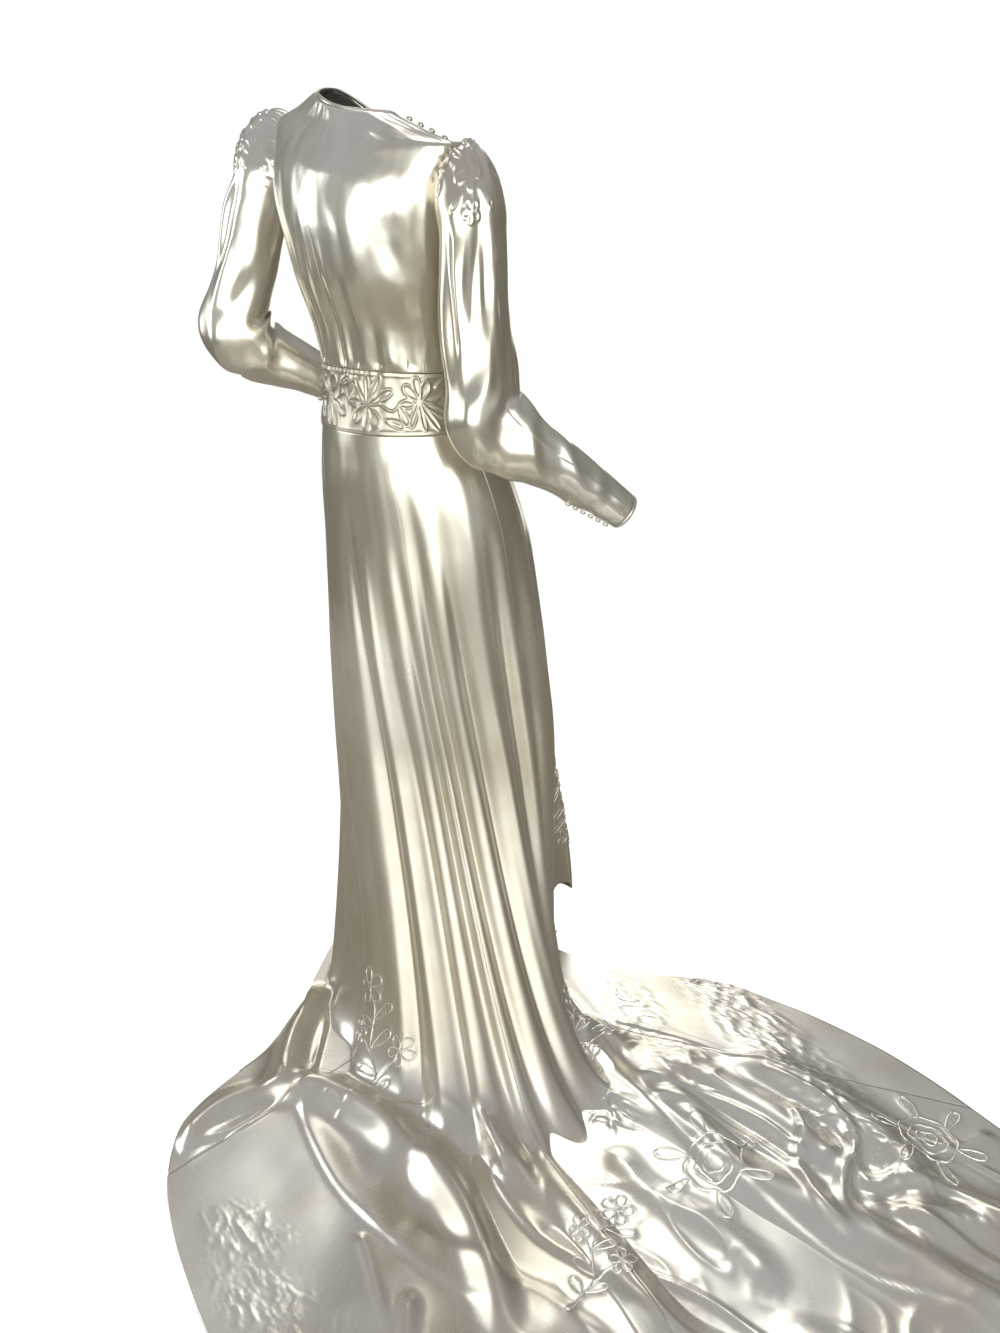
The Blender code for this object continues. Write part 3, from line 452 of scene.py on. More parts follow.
def sleeve_surface(arm, side):
    """The sleeve as a surface over its length and the angle round it. The angle starts at the
    outside of the arm and turns towards its back. side is -1 on the right and 1 on the left."""
    line = table(arm, SLEEVE_COLUMNS)
    girth = table(SLEEVE_GIRTH, GIRTH_COLUMNS)

    def centre(along):
        return np.stack([smooth(line["along"], line[axis], along) for axis in "xyz"], axis=-1)

    def surface(around, along):
        step = 0.03
        ahead = centre(np.minimum(along + step, 1.0))
        tangent = unit(ahead - centre(np.maximum(np.minimum(along + step, 1.0) - 2 * step, 0.0)))
        outer = np.zeros_like(tangent)
        outer[..., 0] = side
        outer = unit(outer - (outer * tangent).sum(axis=-1, keepdims=True) * tangent)
        back = side * np.cross(outer, tangent)
        turned = np.radians(around)
        wide = smooth(girth["along"], girth["outer"], along)
        deep = smooth(girth["along"], girth["back"], along)
        swell = 0
        for at, around_deg, length, width_deg, height in SLEEVE_FOLDS:
            place = bump((along - at) / length * 2) * bump(turn_from(around, around_deg) / width_deg)
            swell = swell + height * place
        wide, deep = wide + swell, deep + swell
        tube = centre(along)
        tube = tube + (wide * np.cos(turned))[..., None] * outer
        tube = tube + (deep * np.sin(turned))[..., None] * back
        # The head starts on the armhole, rises as a puff and then follows the arm.
        up = ARMHOLE_LOW + (ARMHOLE_HIGH - ARMHOLE_LOW) * (1 + np.cos(turned)) / 2
        to_back = np.where(np.sin(turned) >= 0, 1, -1)
        armhole = bodice_surface(-side * armhole_edge(up, to_back), up)
        armhole[..., 0] += side * (CLOTH + SEAM)
        share = ease(along / CAP_LENGTH)
        top = np.maximum(np.cos(turned), 0) ** 0.7
        puff = np.sin(math.pi * np.clip(along / CAP_LENGTH, 0, 1)) * top
        ripple = np.cos(CAP_GATHERS * turned) * ease(along / 0.04) * (1 - ease(along / CAP_LENGTH)) * top
        points = armhole + (tube - armhole) * share[..., None]
        points[..., 2] += CAP_RISE[side] * puff + CAP_GATHER_HEIGHT * ripple
        points[..., 0] += side * (CAP_SPREAD[side] * puff + 0.5 * CAP_GATHER_HEIGHT * ripple)
        under = np.maximum(-np.cos(turned), 0) * np.sin(math.pi * np.clip(along / CAP_LENGTH, 0, 1))
        points[..., 0] += side * UNDERARM_CLEAR * under
        return points

    return surface


def normals(surface, first, second, sign):
    """Unit normals of a surface, from how it changes with each of its two measures."""
    small_first, small_second = 0.05, 0.0005
    across = surface(first + small_first, second) - surface(first - small_first, second)
    along = surface(first, second + small_second) - surface(first, second - small_second)
    return unit(sign * np.cross(across, along))


# Finer form: small folds, creases and corded work, all added to the surfaces above

TURNED_EDGE = 0.0055  # width of the edge that is turned under at seams, neck and hems
CLOTH_DROP = 0.0013  # how far the turned edge lies below the face of the cloth
CORD_HEIGHT = 0.0024
CORD_WIDTH = 0.0026  # of the rise in the cloth along a cord
CAP_CORD_WIDTH = 0.0021
BAND_CORD_WIDTH = 0.0013
SPRAY_RISE = 0.4  # the sprays' cords are pieces of their own, so the cloth rises less there

# Narrow folds between the large ones: angle, how many degrees it leans on its way down, width
# in degrees, height, and the places on the way down where it starts, is full and ends
FINE_FOLDS = (
    (-28, -2, 4.6, -0.0022, 0.02, 0.14, 0.52),
    (-13, 1, 4.0, 0.002, 0.06, 0.24, 0.66),
    (2, 4, 3.8, 0.0022, 0.1, 0.3, 0.72),
    (21, 6, 4.2, 0.0022, 0.1, 0.28, 0.66),
    (45, 3, 4.4, 0.0024, 0.08, 0.26, 0.66),
    (73, 0, 3.0, -0.0026, 0.1, 0.3, 0.82),
    (88, -1, 4.0, 0.0036, 0.14, 0.34, 0.78),
    (110, -1, 4.4, 0.0032, 0.14, 0.34, 0.78),
    (131, 0, 4.6, 0.003, 0.12, 0.34, 0.78),
    (156, 0, 4.6, 0.003, 0.14, 0.36, 1.1),
    (175, 0, 4.6, -0.0026, 0.12, 0.34, 1.1),
    (-161, 0, 4.6, 0.003, 0.14, 0.36, 1.1),
    (-138, 0, 4.6, 0.003, 0.14, 0.36, 1.0),
    (-115, 0, 4.4, 0.0032, 0.14, 0.34, 0.9),
    (-92, 0, 4.0, 0.003, 0.14, 0.32, 0.8),
    (-72, -1, 4.0, 0.003, 0.1, 0.3, 0.78),
    (-50, -1, 4.2, -0.0024, 0.08, 0.26, 0.72),
)

# Creases of the train: width, height, how much steeper the side on the left of its heading
# is, and the places on the floor that it passes
TRAIN_CREASES = {
    "left_roll": (0.01, 0.005, 2.6, (
        (0.037, 0.203), (-0.057, 0.294), (-0.11, 0.37), (-0.112, 0.48), (-0.077, 0.586),
    )),
    "second_roll": (0.012, 0.005, 0.4, (
        (-0.078, 0.356), (-0.192, 0.411), (-0.345, 0.444), (-0.463, 0.443), (-0.629, 0.402),
    )),
    "bright_flap": (0.026, 0.006, 1.6, (
        (-0.43, 0.42), (-0.52, 0.398), (-0.64, 0.36), (-0.8, 0.33),
    )),
    "level_crease": (0.006, 0.0043, 1.5, (
        (-0.245, 0.33), (-0.28, 0.27), (-0.32, 0.238), (-0.37, 0.222),
    )),
    "spike": (0.008, 0.0086, 0.6, (
        (-0.306, 0.178), (-0.36, 0.195), (-0.42, 0.224), (-0.5, 0.252),
    )),
    "mid_seam": (0.009, 0.005, 0.5, (
        (-0.445, 0.241), (-0.495, 0.269), (-0.596, 0.287), (-0.728, 0.263), (-0.9, 0.262),
    )),
    "second_line": (0.007, 0.0036, 1.6, (
        (-0.669, 0.236), (-0.731, 0.222), (-0.843, 0.188), (-1.0, 0.18),
    )),
    "panel_edge": (0.008, 0.0058, 0.4, (
        (-0.221, -0.15), (-0.387, -0.089), (-0.64, -0.021), (-0.917, 0.006), (-1.119, -0.06),
    )),
    "border_seam": (0.005, 0.0036, 1.0, (
        (-0.34, -0.11), (-0.505, -0.19), (-0.716, -0.25), (-1.036, -0.298), (-1.2, -0.24),
    )),
    "long_fold": (0.011, 0.0072, 1.4, (
        (-0.5, -0.05), (-0.594, -0.096), (-0.719, -0.116), (-0.82, -0.106),
    )),
    "lower_fold": (0.01, 0.0065, 0.8, (
        (-0.54, -0.03), (-0.64, -0.072), (-0.76, -0.078), (-0.85, -0.06),
    )),
    "wave_near": (0.01, 0.0086, 0.7, (
        (-0.72, -0.19), (-0.775, -0.15), (-0.8, -0.09), (-0.87, -0.04), (-0.93, -0.02),
    )),
    "wave_middle": (0.011, 0.0101, 1.4, (
        (-0.64, -0.215), (-0.76, -0.225), (-0.85, -0.19), (-0.865, -0.12), (-0.905, -0.05),
    )),
    "wave_far": (0.014, 0.0094, 0.8, (
        (-0.88, -0.12), (-0.94, -0.18), (-1.01, -0.215), (-1.12, -0.21),
    )),
    "wave_end": (0.014, 0.0079, 1.3, (
        (-0.9, -0.09), (-0.98, -0.13), (-1.06, -0.13), (-1.16, -0.15),
    )),
    "hem_pleat": (0.011, 0.0065, 1.2, (
        (-0.9, -0.25), (-0.96, -0.3), (-1.0, -0.38),
    )),
    "centre_pool": (0.023, 0.0058, 1.0, (
        (-0.56, 0.09), (-0.66, 0.11), (-0.78, 0.09), (-0.9, 0.11),
    )),
    "centre_pool_far": (0.025, 0.0065, 1.0, (
        (-0.9, 0.16), (-1.02, 0.12), (-1.18, 0.14), (-1.32, 0.1),
    )),
    "end_fold": (0.023, 0.0086, 0.8, (
        (-1.0, 0.36), (-1.12, 0.33), (-1.24, 0.26), (-1.36, 0.24),
    )),
    "left_pleat": (0.01, 0.0036, 1.0, (
        (-0.4, 0.47), (-0.47, 0.5), (-0.55, 0.54),
    )),
    "left_pleat_far": (0.014, 0.0065, 1.0, (
        (-0.52, 0.47), (-0.6, 0.56), (-0.64, 0.66),
    )),
}

# Crushed places on the train: middle, reach both ways, turn in degrees, lines to the metre,
# height, sharpness of the ridges, and which of the four noises they follow
CRUSHED = (
    (-0.66, -0.29, 0.5, 0.085, -18, 32, 0.003, 4, 0),
    (-0.42, -0.17, 0.16, 0.07, -35, 30, 0.0022, 4, 1),
    (-0.56, -0.14, 0.12, 0.06, -20, 20, 0.0022, 4, 2),
    (-0.92, -0.17, 0.26, 0.13, 0, 6, 0.006, 8, 3),
    (-0.46, 0.62, 0.2, 0.07, 10, 36, 0.0014, 4, 1),
    (-0.28, 0.59, 0.1, 0.06, 30, 30, 0.0009, 4, 2),
    (-0.74, 0.14, 0.26, 0.1, 0, 7, 0.002, 5, 0),
    (-1.16, 0.12, 0.26, 0.3, 0, 5, 0.005, 7, 2),
    (-0.8, 0.5, 0.3, 0.16, 20, 6, 0.004, 7, 3),
    (-0.52, 0.03, 0.08, 0.06, 0, 22, 0.003, 3, 1),
)

# Sprays of corded flowers: angle round the skirt, place on the way down, size, turn in degrees
# and kind
SPRAYS = {
    "left_back": (-23.0, 0.64, 0.125, 8, "tall"),
    "right_low": (84.0, 0.676, 0.08, -30, "tall"),
    "train_rose": (60.0, 0.776, 0.085, 20, "rose"),
    "train_mid": (30.5, 0.772, 0.09, -50, "tall"),
    "train_far": (82.0, 0.925, 0.085, 70, "rose"),
    "train_end": (44.0, 0.905, 0.12, 40, "rose"),
    "train_left": (6.0, 0.9, 0.11, -20, "tall"),
    "front_right_high": (151.0, 0.455, 0.085, 0, "tall"),
    "front_right": (151.0, 0.565, 0.085, 180, "tall"),
    "front_left_high": (-151.0, 0.455, 0.085, 0, "tall"),
    "front_left": (-151.0, 0.565, 0.085, 180, "tall"),
    "side_left": (-103.0, 0.52, 0.08, 0, "tall"),
    "side_left_low": (-103.0, 0.61, 0.08, 180, "tall"),
}

# Folds of the bodice: angle, lean and width in degrees, height, and where each starts and ends
# going up
BODICE_FOLDS = (
    (-56, 4, 3.0, 0.0022, 0.0, 0.3),
    (-46, 3, 2.4, -0.0026, 0.0, 0.36),
    (-38, 3, 2.6, 0.0026, 0.0, 0.44),
    (-29, 2, 2.2, -0.0028, 0.0, 0.46),
    (-20, 2, 2.2, 0.0032, 0.0, 0.56),
    (-13, 1, 2.0, -0.003, 0.0, 0.5),
    (-6, 0, 2.0, 0.0034, 0.0, 0.6),
    (1, -1, 2.0, -0.0034, 0.0, 0.52),
    (8, -1, 2.0, 0.0032, 0.0, 0.56),
    (15, -2, 2.0, -0.003, 0.0, 0.5),
    (22, -3, 2.2, 0.003, 0.0, 0.42),
    (32, -3, 2.4, -0.0026, 0.0, 0.38),
    (42, -4, 2.8, 0.0026, 0.0, 0.32),
    (56, -4, 3.2, -0.0022, 0.0, 0.26),
    (-16, 0, 2.2, -0.002, 0.7, 1.05),
    (140, 3, 3.0, 0.003, 0.0, 0.34),
    (153, 2, 2.6, -0.003, 0.0, 0.36),
    (166, 1, 2.8, 0.0032, 0.0, 0.4),
    (180, 0, 2.6, -0.0028, 0.0, 0.34),
    (194, 0, 2.6, 0.003, 0.0, 0.38),
    (207, -1, 2.8, -0.003, 0.0, 0.38),
    (220, -3, 3.2, 0.003, 0.0, 0.34),
)

# Soft dents and swells of the bodice: angle, place going up, sizes and height
BODICE_SWELLS = (
    (26, 0.4, 9, 0.16, 0.0045),
    (-10, 0.52, 12, 0.1, 0.003),
    (48, 0.5, 8, 0.16, -0.004),
    (58, 0.62, 7, 0.14, 0.005),
    (-44, 0.56, 10, 0.14, 0.0036),
    (-58, 0.44, 7, 0.16, -0.003),
    (20, 0.64, 30, 0.1, 0.004),
    (32, 0.9, 26, 0.06, -0.004),
    (-24, 0.9, 20, 0.06, -0.0026),
    (40, 0.8, 18, 0.05, 0.003),
    (150, 0.42, 12, 0.14, 0.004),
    (210, 0.42, 12, 0.14, 0.004),
    (180, 0.5, 8, 0.18, -0.003),
)

# Small folds of the sleeves: place along the arm, angle round it, length, width in degrees,
# height, and how many degrees it twists over its length
SLEEVE_CREASES = (
    (0.3, 62, 0.3, 10, 0.004, 20),
    (0.34, 40, 0.3, 9, -0.004, 24),
    (0.38, 84, 0.26, 12, -0.0037, -10),
    (0.42, 110, 0.26, 12, 0.004, -16),
    (0.44, 20, 0.22, 12, 0.0037, 26),
    (0.5, 350, 0.2, 12, -0.0037, 20),
    (0.54, 140, 0.16, 15, -0.004, -30),
    (0.56, 50, 0.14, 15, 0.0045, 50),
    (0.6, 110, 0.12, 21, 0.0048, -60),
    (0.6, 10, 0.1, 24, -0.0045, 60),
    (0.64, 300, 0.08, 33, 0.004, 80),
    (0.66, 75, 0.09, 24, -0.0048, 70),
    (0.7, 150, 0.1, 21, 0.004, -50),
    (0.72, 30, 0.11, 18, 0.0042, 60),
    (0.76, 100, 0.1, 18, -0.0037, -40),
    (0.8, 350, 0.1, 18, 0.0035, 60),
    (0.84, 60, 0.09, 21, -0.0032, 60),
    (0.87, 130, 0.07, 27, 0.003, -70),
    (0.91, 20, 0.06, 33, 0.0027, 80),
    (0.93, 90, 0.05, 39, -0.0026, 90),
    (0.95, 200, 0.05, 45, 0.0024, 90),
)

TWISTS = np.random.RandomState(11).rand(4, 64, 64) * 2 * math.pi  # of four noises, on a grid


def noise(x, y, kind=0):
    """Smooth noise over a plane, about -1 to 1."""
    left, low = np.floor(x).astype(int), np.floor(y).astype(int)
    total = 0
    for over in (0, 1):
        for up in (0, 1):
            twist = TWISTS[kind][(left + over) % 64, (low + up) % 64]
            dx, dy = x - left - over, y - low - up
            fade_x, fade_y = 1 - np.abs(dx), 1 - np.abs(dy)
            weight = 1
            for fade in (fade_x, fade_y):
                weight = weight * fade**3 * (fade * (6 * fade - 15) + 10)
            total = total + weight * (np.cos(twist) * dx + np.sin(twist) * dy)
    return total * 1.5


def crushed(x, y, kind, sharpness):
    """Winding ridges, as crushed satin has, from 0 to about 1.4."""
    drift = 0.7 * noise(x * 0.6, y * 0.6, (kind + 1) % 4)
    ridge = 1 - np.abs(noise(x + drift, y - drift, kind))
    small = 1 - np.abs(noise(2.1 * x - drift, 2.1 * y + drift, (kind + 2) % 4))
    return np.clip(ridge, 0, 1) ** (2 * sharpness) + 0.4 * np.clip(small, 0, 1) ** (2 * sharpness)


def line_places(x, y, points):
    """Signed distance from a line through points, to its left, and the share along it."""
    nearest = np.full(np.shape(x), 9.0)
    side = np.zeros(np.shape(x))
    along = np.zeros(np.shape(x))
    spans = len(points) - 1
    for number, ((x0, y0), (x1, y1)) in enumerate(zip(points[:-1], points[1:])):
        length = math.hypot(x1 - x0, y1 - y0)
        ux, uy = (x1 - x0) / length, (y1 - y0) / length
        share = np.clip(((x - x0) * ux + (y - y0) * uy) / length, 0, 1)
        distance = np.hypot(x - x0 - share * ux * length, y - y0 - share * uy * length)
        closer = distance < nearest
        nearest = np.where(closer, distance, nearest)
        side = np.where(closer, np.sign((y - y0) * ux - (x - x0) * uy), side)
        along = np.where(closer, (number + share) / spans, along)
    return nearest * side, along


def through(points, count=9):
    """A smooth line through a few points."""
    points = np.array(points, float)
    at = np.arange(len(points), dtype=float)
    fine = np.linspace(0, len(points) - 1, count * (len(points) - 1) + 1)
    return np.stack([smooth(at, points[:, axis], fine) for axis in range(points.shape[1])], axis=-1)


def train_detail(x, y):
    """Height of the creases and crushed places at a place on the floor."""
    height = 0
    for width, size, steeper, points in TRAIN_CREASES.values():
        signed, along = line_places(x, y, through(points, 4))
        across = np.where(signed > 0, signed * steeper, signed / max(steeper, 0.5) ** 0.5)
        height = height + size * bump(across / width) * ease(along / 0.14) * ease((1 - along) / 0.14)
    for cx, cy, reach_x, reach_y, turn_deg, density, size, sharpness, kind in CRUSHED:
        c, s = heading_of(turn_deg)
        u, v = (x - cx) * c + (y - cy) * s, (y - cy) * c - (x - cx) * s
        inside = 1 - ease(np.hypot(u / reach_x, v / reach_y) * 1.6 - 0.6)
        height = height + size * inside * crushed(u * density, v * density, kind, sharpness)
    return height + 0.0012 * noise(x * 9, y * 9, 3)


def petal(x, y, turn_deg, length, width):
    """The outline of a petal with its root at a place."""
    turn = np.linspace(0, 2 * math.pi, 17)
    along = length * (1 - np.cos(turn)) / 2
    across = width * 0.5 * np.sin(turn) * (0.35 + 0.65 * along / length)
    c, s = heading_of(turn_deg)
    return np.stack([x + along * c - across * s, y + along * s + across * c], axis=-1)


def leaf(x, y, turn_deg, length, width):
    """A leaf's outline and its middle vein."""
    c, s = heading_of(turn_deg)
    vein = np.array([[x, y], [x + 0.75 * length * c, y + 0.75 * length * s]])
    return [petal(x, y, turn_deg, length, width), vein]


def blossom(x, y, size, turn_deg):
    """A round flower: five petals about a small ring."""
    lines = [petal(x, y, turn_deg + 72 * k, size * 0.52, size * 0.42) for k in range(5)]
    ring = np.linspace(0, 2 * math.pi, 9)
    lines.append(np.stack([x + size * 0.09 * np.cos(ring), y + size * 0.09 * np.sin(ring)], axis=-1))
    return lines


def rose():
    """Overlapping rings of wavy petals, about 1 across."""
    lines = []
    turn = np.linspace(0, 2 * math.pi, 33)
    for ring, petals in ((0.16, 3), (0.32, 5), (0.5, 7)):
        radius = ring + 0.05 * np.abs(np.sin(petals * turn / 2 + ring * 9))
        lines.append(np.stack([radius * np.cos(turn), radius * np.sin(turn)], axis=-1))
    return lines


def spray_lines(kind):
    """A spray about 2 across: stems, flowers and leaves."""
    if kind == "rose":
        lines = rose()
        for turn_deg in (15, 75, 130, 190, 250, 310):
            c, s = heading_of(turn_deg)
            lines += leaf(0.52 * c, 0.52 * s, turn_deg + 18, 0.55, 0.26)
        return lines
    lines = [
        through(((-0.05, -1.0), (0.06, -0.6), (-0.08, -0.1), (0.04, 0.35), (-0.02, 0.62))),
        through(((0.05, -0.62), (0.24, -0.42), (0.42, -0.3))),
        through(((-0.06, -0.25), (-0.22, -0.05), (-0.34, 0.02))),
        *blossom(-0.02, 0.68, 0.52, 90),
        *blossom(0.46, -0.22, 0.4, 40),
        *blossom(-0.38, 0.1, 0.36, 130),
    ]
    for x, y, turn_deg, length in (
        (0.02, -0.8, 40, 0.34),
        (0.0, -0.86, 140, 0.34),
        (0.06, -0.5, 160, 0.4),
        (-0.06, -0.16, 30, 0.42),
        (0.0, 0.12, 150, 0.36),
        (0.02, 0.22, 25, 0.4),
        (-0.02, -0.98, 250, 0.2),
    ):
        lines += leaf(x, y, turn_deg, length, 0.42 * length)
    return lines


def cords(x, y, lines, width):
    """Height, from 0 to about 1, of soft cords laid along lines."""
    height = np.zeros(np.shape(x))
    for line in lines:
        low, high = line.min(axis=0) - 4 * width, line.max(axis=0) + 4 * width
        near = (x > low[0]) & (x < high[0]) & (y > low[1]) & (y < high[1])
        if near.any():
            signed, _ = line_places(x[near], y[near], line)
            cord = bump(signed / width) + 0.18 * bump(signed / (3 * width))
            height[near] = np.maximum(height[near], cord)
    return height


def spray_places():
    """Each spray's middle, its two directions on the cloth, and its lines in metres."""
    found = []
    for at_deg, down, size, turn_deg, kind in SPRAYS.values():
        angle, place = np.array(float(at_deg)), np.array(down)
        middle = skirt_surface(angle, place)
        lower = skirt_surface(angle, place + 0.01)
        normal = normals(skirt_surface, angle, place, -1)
        upwards = middle - lower
        upwards = unit(upwards - normal * (upwards @ normal))
        across = np.cross(upwards, normal)
        c, s = heading_of(turn_deg)
        lines = [line * size for line in spray_lines(kind)]
        found.append((middle, across * c + upwards * s, upwards * c - across * s, size, lines))
    return found


SPRAY_PLACES = spray_places()


def sprays(points):
    """How far the cloth stands up along the cords of the sprays, at points of the skirt."""
    height = np.zeros(points.shape[:-1])
    for middle, across, upwards, size, lines in SPRAY_PLACES:
        offset = points - middle
        near = (offset**2).sum(axis=-1) < (1.3 * size) ** 2
        if near.any():
            x, y = offset[near] @ across, offset[near] @ upwards
            height[near] = np.maximum(height[near], cords(x, y, lines, CORD_WIDTH))
    return SPRAY_RISE * CORD_HEIGHT * height


def skirt_fine(angle, down):
    """The skirt's surface with its narrow folds, soft ripples and the creases of the train."""
    angle = turn_from(angle, 0)
    points = skirt_surface(angle, down)
    outwards = normals(skirt_surface, angle, down, -1)
    rise = 0
    for at_deg, lean_deg, width_deg, height, start, full, end in FINE_FOLDS:
        offset = turn_from(angle, at_deg + lean_deg * down)
        share = window(down, start, full, end, 0.2)
        rise = rise + height * bump(offset / width_deg) * share
    hangs = 1 - ease((down - 0.62) / 0.1)
    ripple = noise(angle * 0.06, down * 5 + 3, 0) + 0.25 * noise(angle * 0.14, down * 12, 1)
    rise = rise + 0.0018 * ripple * hangs * ease(down / 0.06)
    points = points + outwards * np.reshape(rise, (*np.shape(rise), 1))
    rests = ease((down - TOUCH_AT + 0.1) / 0.1) * ease((0.07 - points[..., 2]) / 0.04)
    points[..., 2] += rests * train_detail(points[..., 0], points[..., 1])
    return points


def bodice_fine(angle, up):
    """The bodice with its folds, swells and the puckers of the waist seam."""
    points = bodice_surface(angle, up)
    outwards = normals(bodice_surface, angle, up, 1)
    rise = 0.0014 * noise(angle * 0.06, up * 5, 1) + 0.0005 * noise(angle * 0.15, up * 11, 2)
    for at_deg, lean_deg, width_deg, height, start, end in BODICE_FOLDS:
        share = (up - start) / (end - start)
        offset = turn_from(angle, at_deg + lean_deg * share)
        fades = ease((end - up) / (0.7 * (end - start)))
        if start > 0:
            fades = fades * ease((share + 0.02) / 0.25)
        wider = width_deg * (1 + 0.9 * np.clip(share, 0, 1))
        rise = rise + 0.8 * height * bump(offset / wider) * fades
    for at_deg, at_up, width_deg, length, height in BODICE_SWELLS:
        rise = rise + height * bump(turn_from(angle, at_deg) / width_deg) * bump((up - at_up) / length)
    pucker = np.cos(np.radians(angle) * 140) * (1 - ease(up / 0.05))
    rise = (rise + 0.0005 * pucker) * (1 - 0.85 * ease((up - 0.97) / 0.03)) * ease(up / 0.035)
    return points + outwards * rise[..., None]


def sleeve_fine(surface, sign):
    """A sleeve with its gathered head, creases and corded flowers."""

    def fine(around, along):
        outwards = normals(surface, around, along, sign)
        rise = 0.0012 * noise(around * 0.03, along * 12, 2)
        for at, around_deg, length, width_deg, height, twist_deg in SLEEVE_CREASES:
            offset = turn_from(around, around_deg + twist_deg * (along - at) / length)
            rise = rise + height * bump(offset / width_deg) * bump((along - at) / length * 2)
        top = np.maximum(np.cos(np.radians(around)), 0) ** 0.6
        pleats = np.cos(np.radians(around) * 26 + 1.4 * noise(around * 0.03, along * 9, 1))
        rise = rise + 0.0016 * pleats * ease(along / 0.012) * (1 - ease((along - 0.03) / 0.14)) * top
        rise = rise * (1 - ease((along - 0.985) / 0.015)) * ease(along / 0.01)
        x = np.radians(turn_from(around, CAP_FLOWERS_AT[sign])) * SLEEVE_RADIUS * CAP_FINENESS
        y = (along - CAP_FLOWERS_DOWN) * SLEEVE_LENGTH * CAP_FINENESS
        flowers = cords(x, y, CAP_LINES, CAP_CORD_WIDTH) * ease((along - 0.03) / 0.02)
        rise = rise + CORD_HEIGHT * 0.7 * flowers
        points = surface(around, along) + outwards * rise[..., None]
        points[..., 0] += sign * 0.0045 * (1 - ease(along / 0.02))
        return points

    return fine


# Flowers of the sleeve caps. Their angle round the arm is by the sign that turns the surface's
# normals outwards, -1 on the left sleeve and 1 on the right.
CAP_FLOWERS_AT = {-1: 66, 1: 38}
CAP_FLOWERS_DOWN = 0.115  # their middle's place along the arm
CAP_FINENESS = 1.5  # over 1 makes them smaller than they are drawn
SLEEVE_RADIUS, SLEEVE_LENGTH = 0.052, 0.62  # to lay the flowers out in metres
CAP_LINES = [
    *blossom(0.0, 0.01, 0.052, 20),
    *blossom(-0.034, -0.036, 0.04, 60),
    *blossom(0.036, -0.04, 0.04, 100),
    *blossom(0.004, 0.066, 0.036, 10),
    *leaf(-0.008, -0.02, 200, 0.034, 0.014),
    *leaf(0.012, -0.016, 330, 0.034, 0.014),
    *leaf(-0.016, 0.036, 140, 0.036, 0.015),
    *leaf(0.018, 0.038, 40, 0.036, 0.015),
    *leaf(0.0, -0.052, 270, 0.028, 0.012),
    *leaf(-0.052, -0.006, 130, 0.03, 0.013),
    *leaf(0.054, -0.008, 50, 0.03, 0.013),
    through(((0.0, -0.06), (-0.012, -0.03), (0.008, 0.0), (-0.004, 0.04), (0.004, 0.08))),
]

BAND_HEIGHT = 0.078
BAND_PITCH = 0.086  # round the waist, from one flower of the band to the next
BAND_RADIUS = 0.128
BAND_MARGIN = 0.0035  # from each edge to the cord along it
BAND_STANDS = 0.0014  # how far the band's cloth stands off its solid
DRAWN_PITCH = 0.108  # pitch that the band's flowers are drawn for


def band_lines(flip):
    """One repeat of the waistband's flowers: long petals, a three-lobed flower and stems."""
    lines = [
        petal(0.0, 0.044, -22, 0.06, 0.015),
        petal(0.0, 0.044, -50, 0.052, 0.014),
        petal(0.0, 0.044, -84, 0.04, 0.012),
        petal(0.0, 0.044, -124, 0.042, 0.013),
        petal(0.002, 0.044, 46, 0.034, 0.022),
        petal(0.002, 0.044, 98, 0.031, 0.022),
        petal(0.002, 0.044, 150, 0.036, 0.02),
        *leaf(0.04, 0.06, 14, 0.034, 0.013),
        petal(0.066, 0.04, 60, 0.03, 0.018),
        petal(0.066, 0.04, -6, 0.03, 0.016),
        through(((0.0, 0.044), (0.026, 0.04), (0.052, 0.048), (0.08, 0.034), (0.108, 0.04))),
    ]
    lines = [line * np.array([BAND_PITCH / DRAWN_PITCH, 1.0]) for line in lines]
    if flip:
        lines = [line * np.array([1.0, -1.0]) + np.array([0.0, BAND_HEIGHT]) for line in lines]
    return lines


BAND_LINES = (band_lines(False), band_lines(True))


def band_fine(angle, up):
    """The waistband with its corded flowers and a narrow cord along each edge."""
    points = band_surface(angle, up)
    outwards = normals(band_surface, angle, up, 1)
    girth = BAND_RADIUS * np.radians(turn_from(angle, 0))
    number = np.floor(girth / BAND_PITCH + 0.5)
    x, y = girth - (number - 0.5) * BAND_PITCH, up * BAND_HEIGHT
    rise = np.zeros(points.shape[:-1])
    for shift in (-BAND_PITCH, 0.0, BAND_PITCH):
        for odd in (0, 1):
            here = cords(x + shift, y, BAND_LINES[odd], BAND_CORD_WIDTH)
            belongs = (number + (shift > 0) - (shift < 0) + 100) % 2 == odd
            rise = np.maximum(rise, np.where(belongs, here, 0))
    edge = bump((y - BAND_MARGIN) / 0.0014) + bump((BAND_HEIGHT - y - BAND_MARGIN) / 0.0014)
    rise = 0.8 * CORD_HEIGHT * np.maximum(rise, 0.4 * edge) + 0.0006 * noise(girth * 34, y * 34, 0)
    return points + outwards * (BAND_STANDS + rise)[..., None]


def parted(points, closed):
    """The points of a panel with its edges drawn back, so that two panels keep a seam's gap."""
    points = points.copy()
    pairs = [(0, 1, 0), (-1, -2, 0)] + ([] if closed else [(0, 1, 1), (-1, -2, 1)])
    for edge, inner, axis in pairs:
        way = points if axis == 0 else points.swapaxes(0, 1)
        way[edge] += unit(way[inner] - way[edge]) * SEAM / 2
    return points


def lowered(points):
    """Heights above the floor, turned into heights in the dress's own frame."""
    return points - np.array([0.0, 0.0, HOLD_HEIGHT])


# Pieces of cloth

BINDING_SIDES = 12  # round the binding's own section
CUFF_SIDES, NECK_SIDES = 96, 144
ARMS = (("right", RIGHT_ARM, -1), ("left", LEFT_ARM, 1))


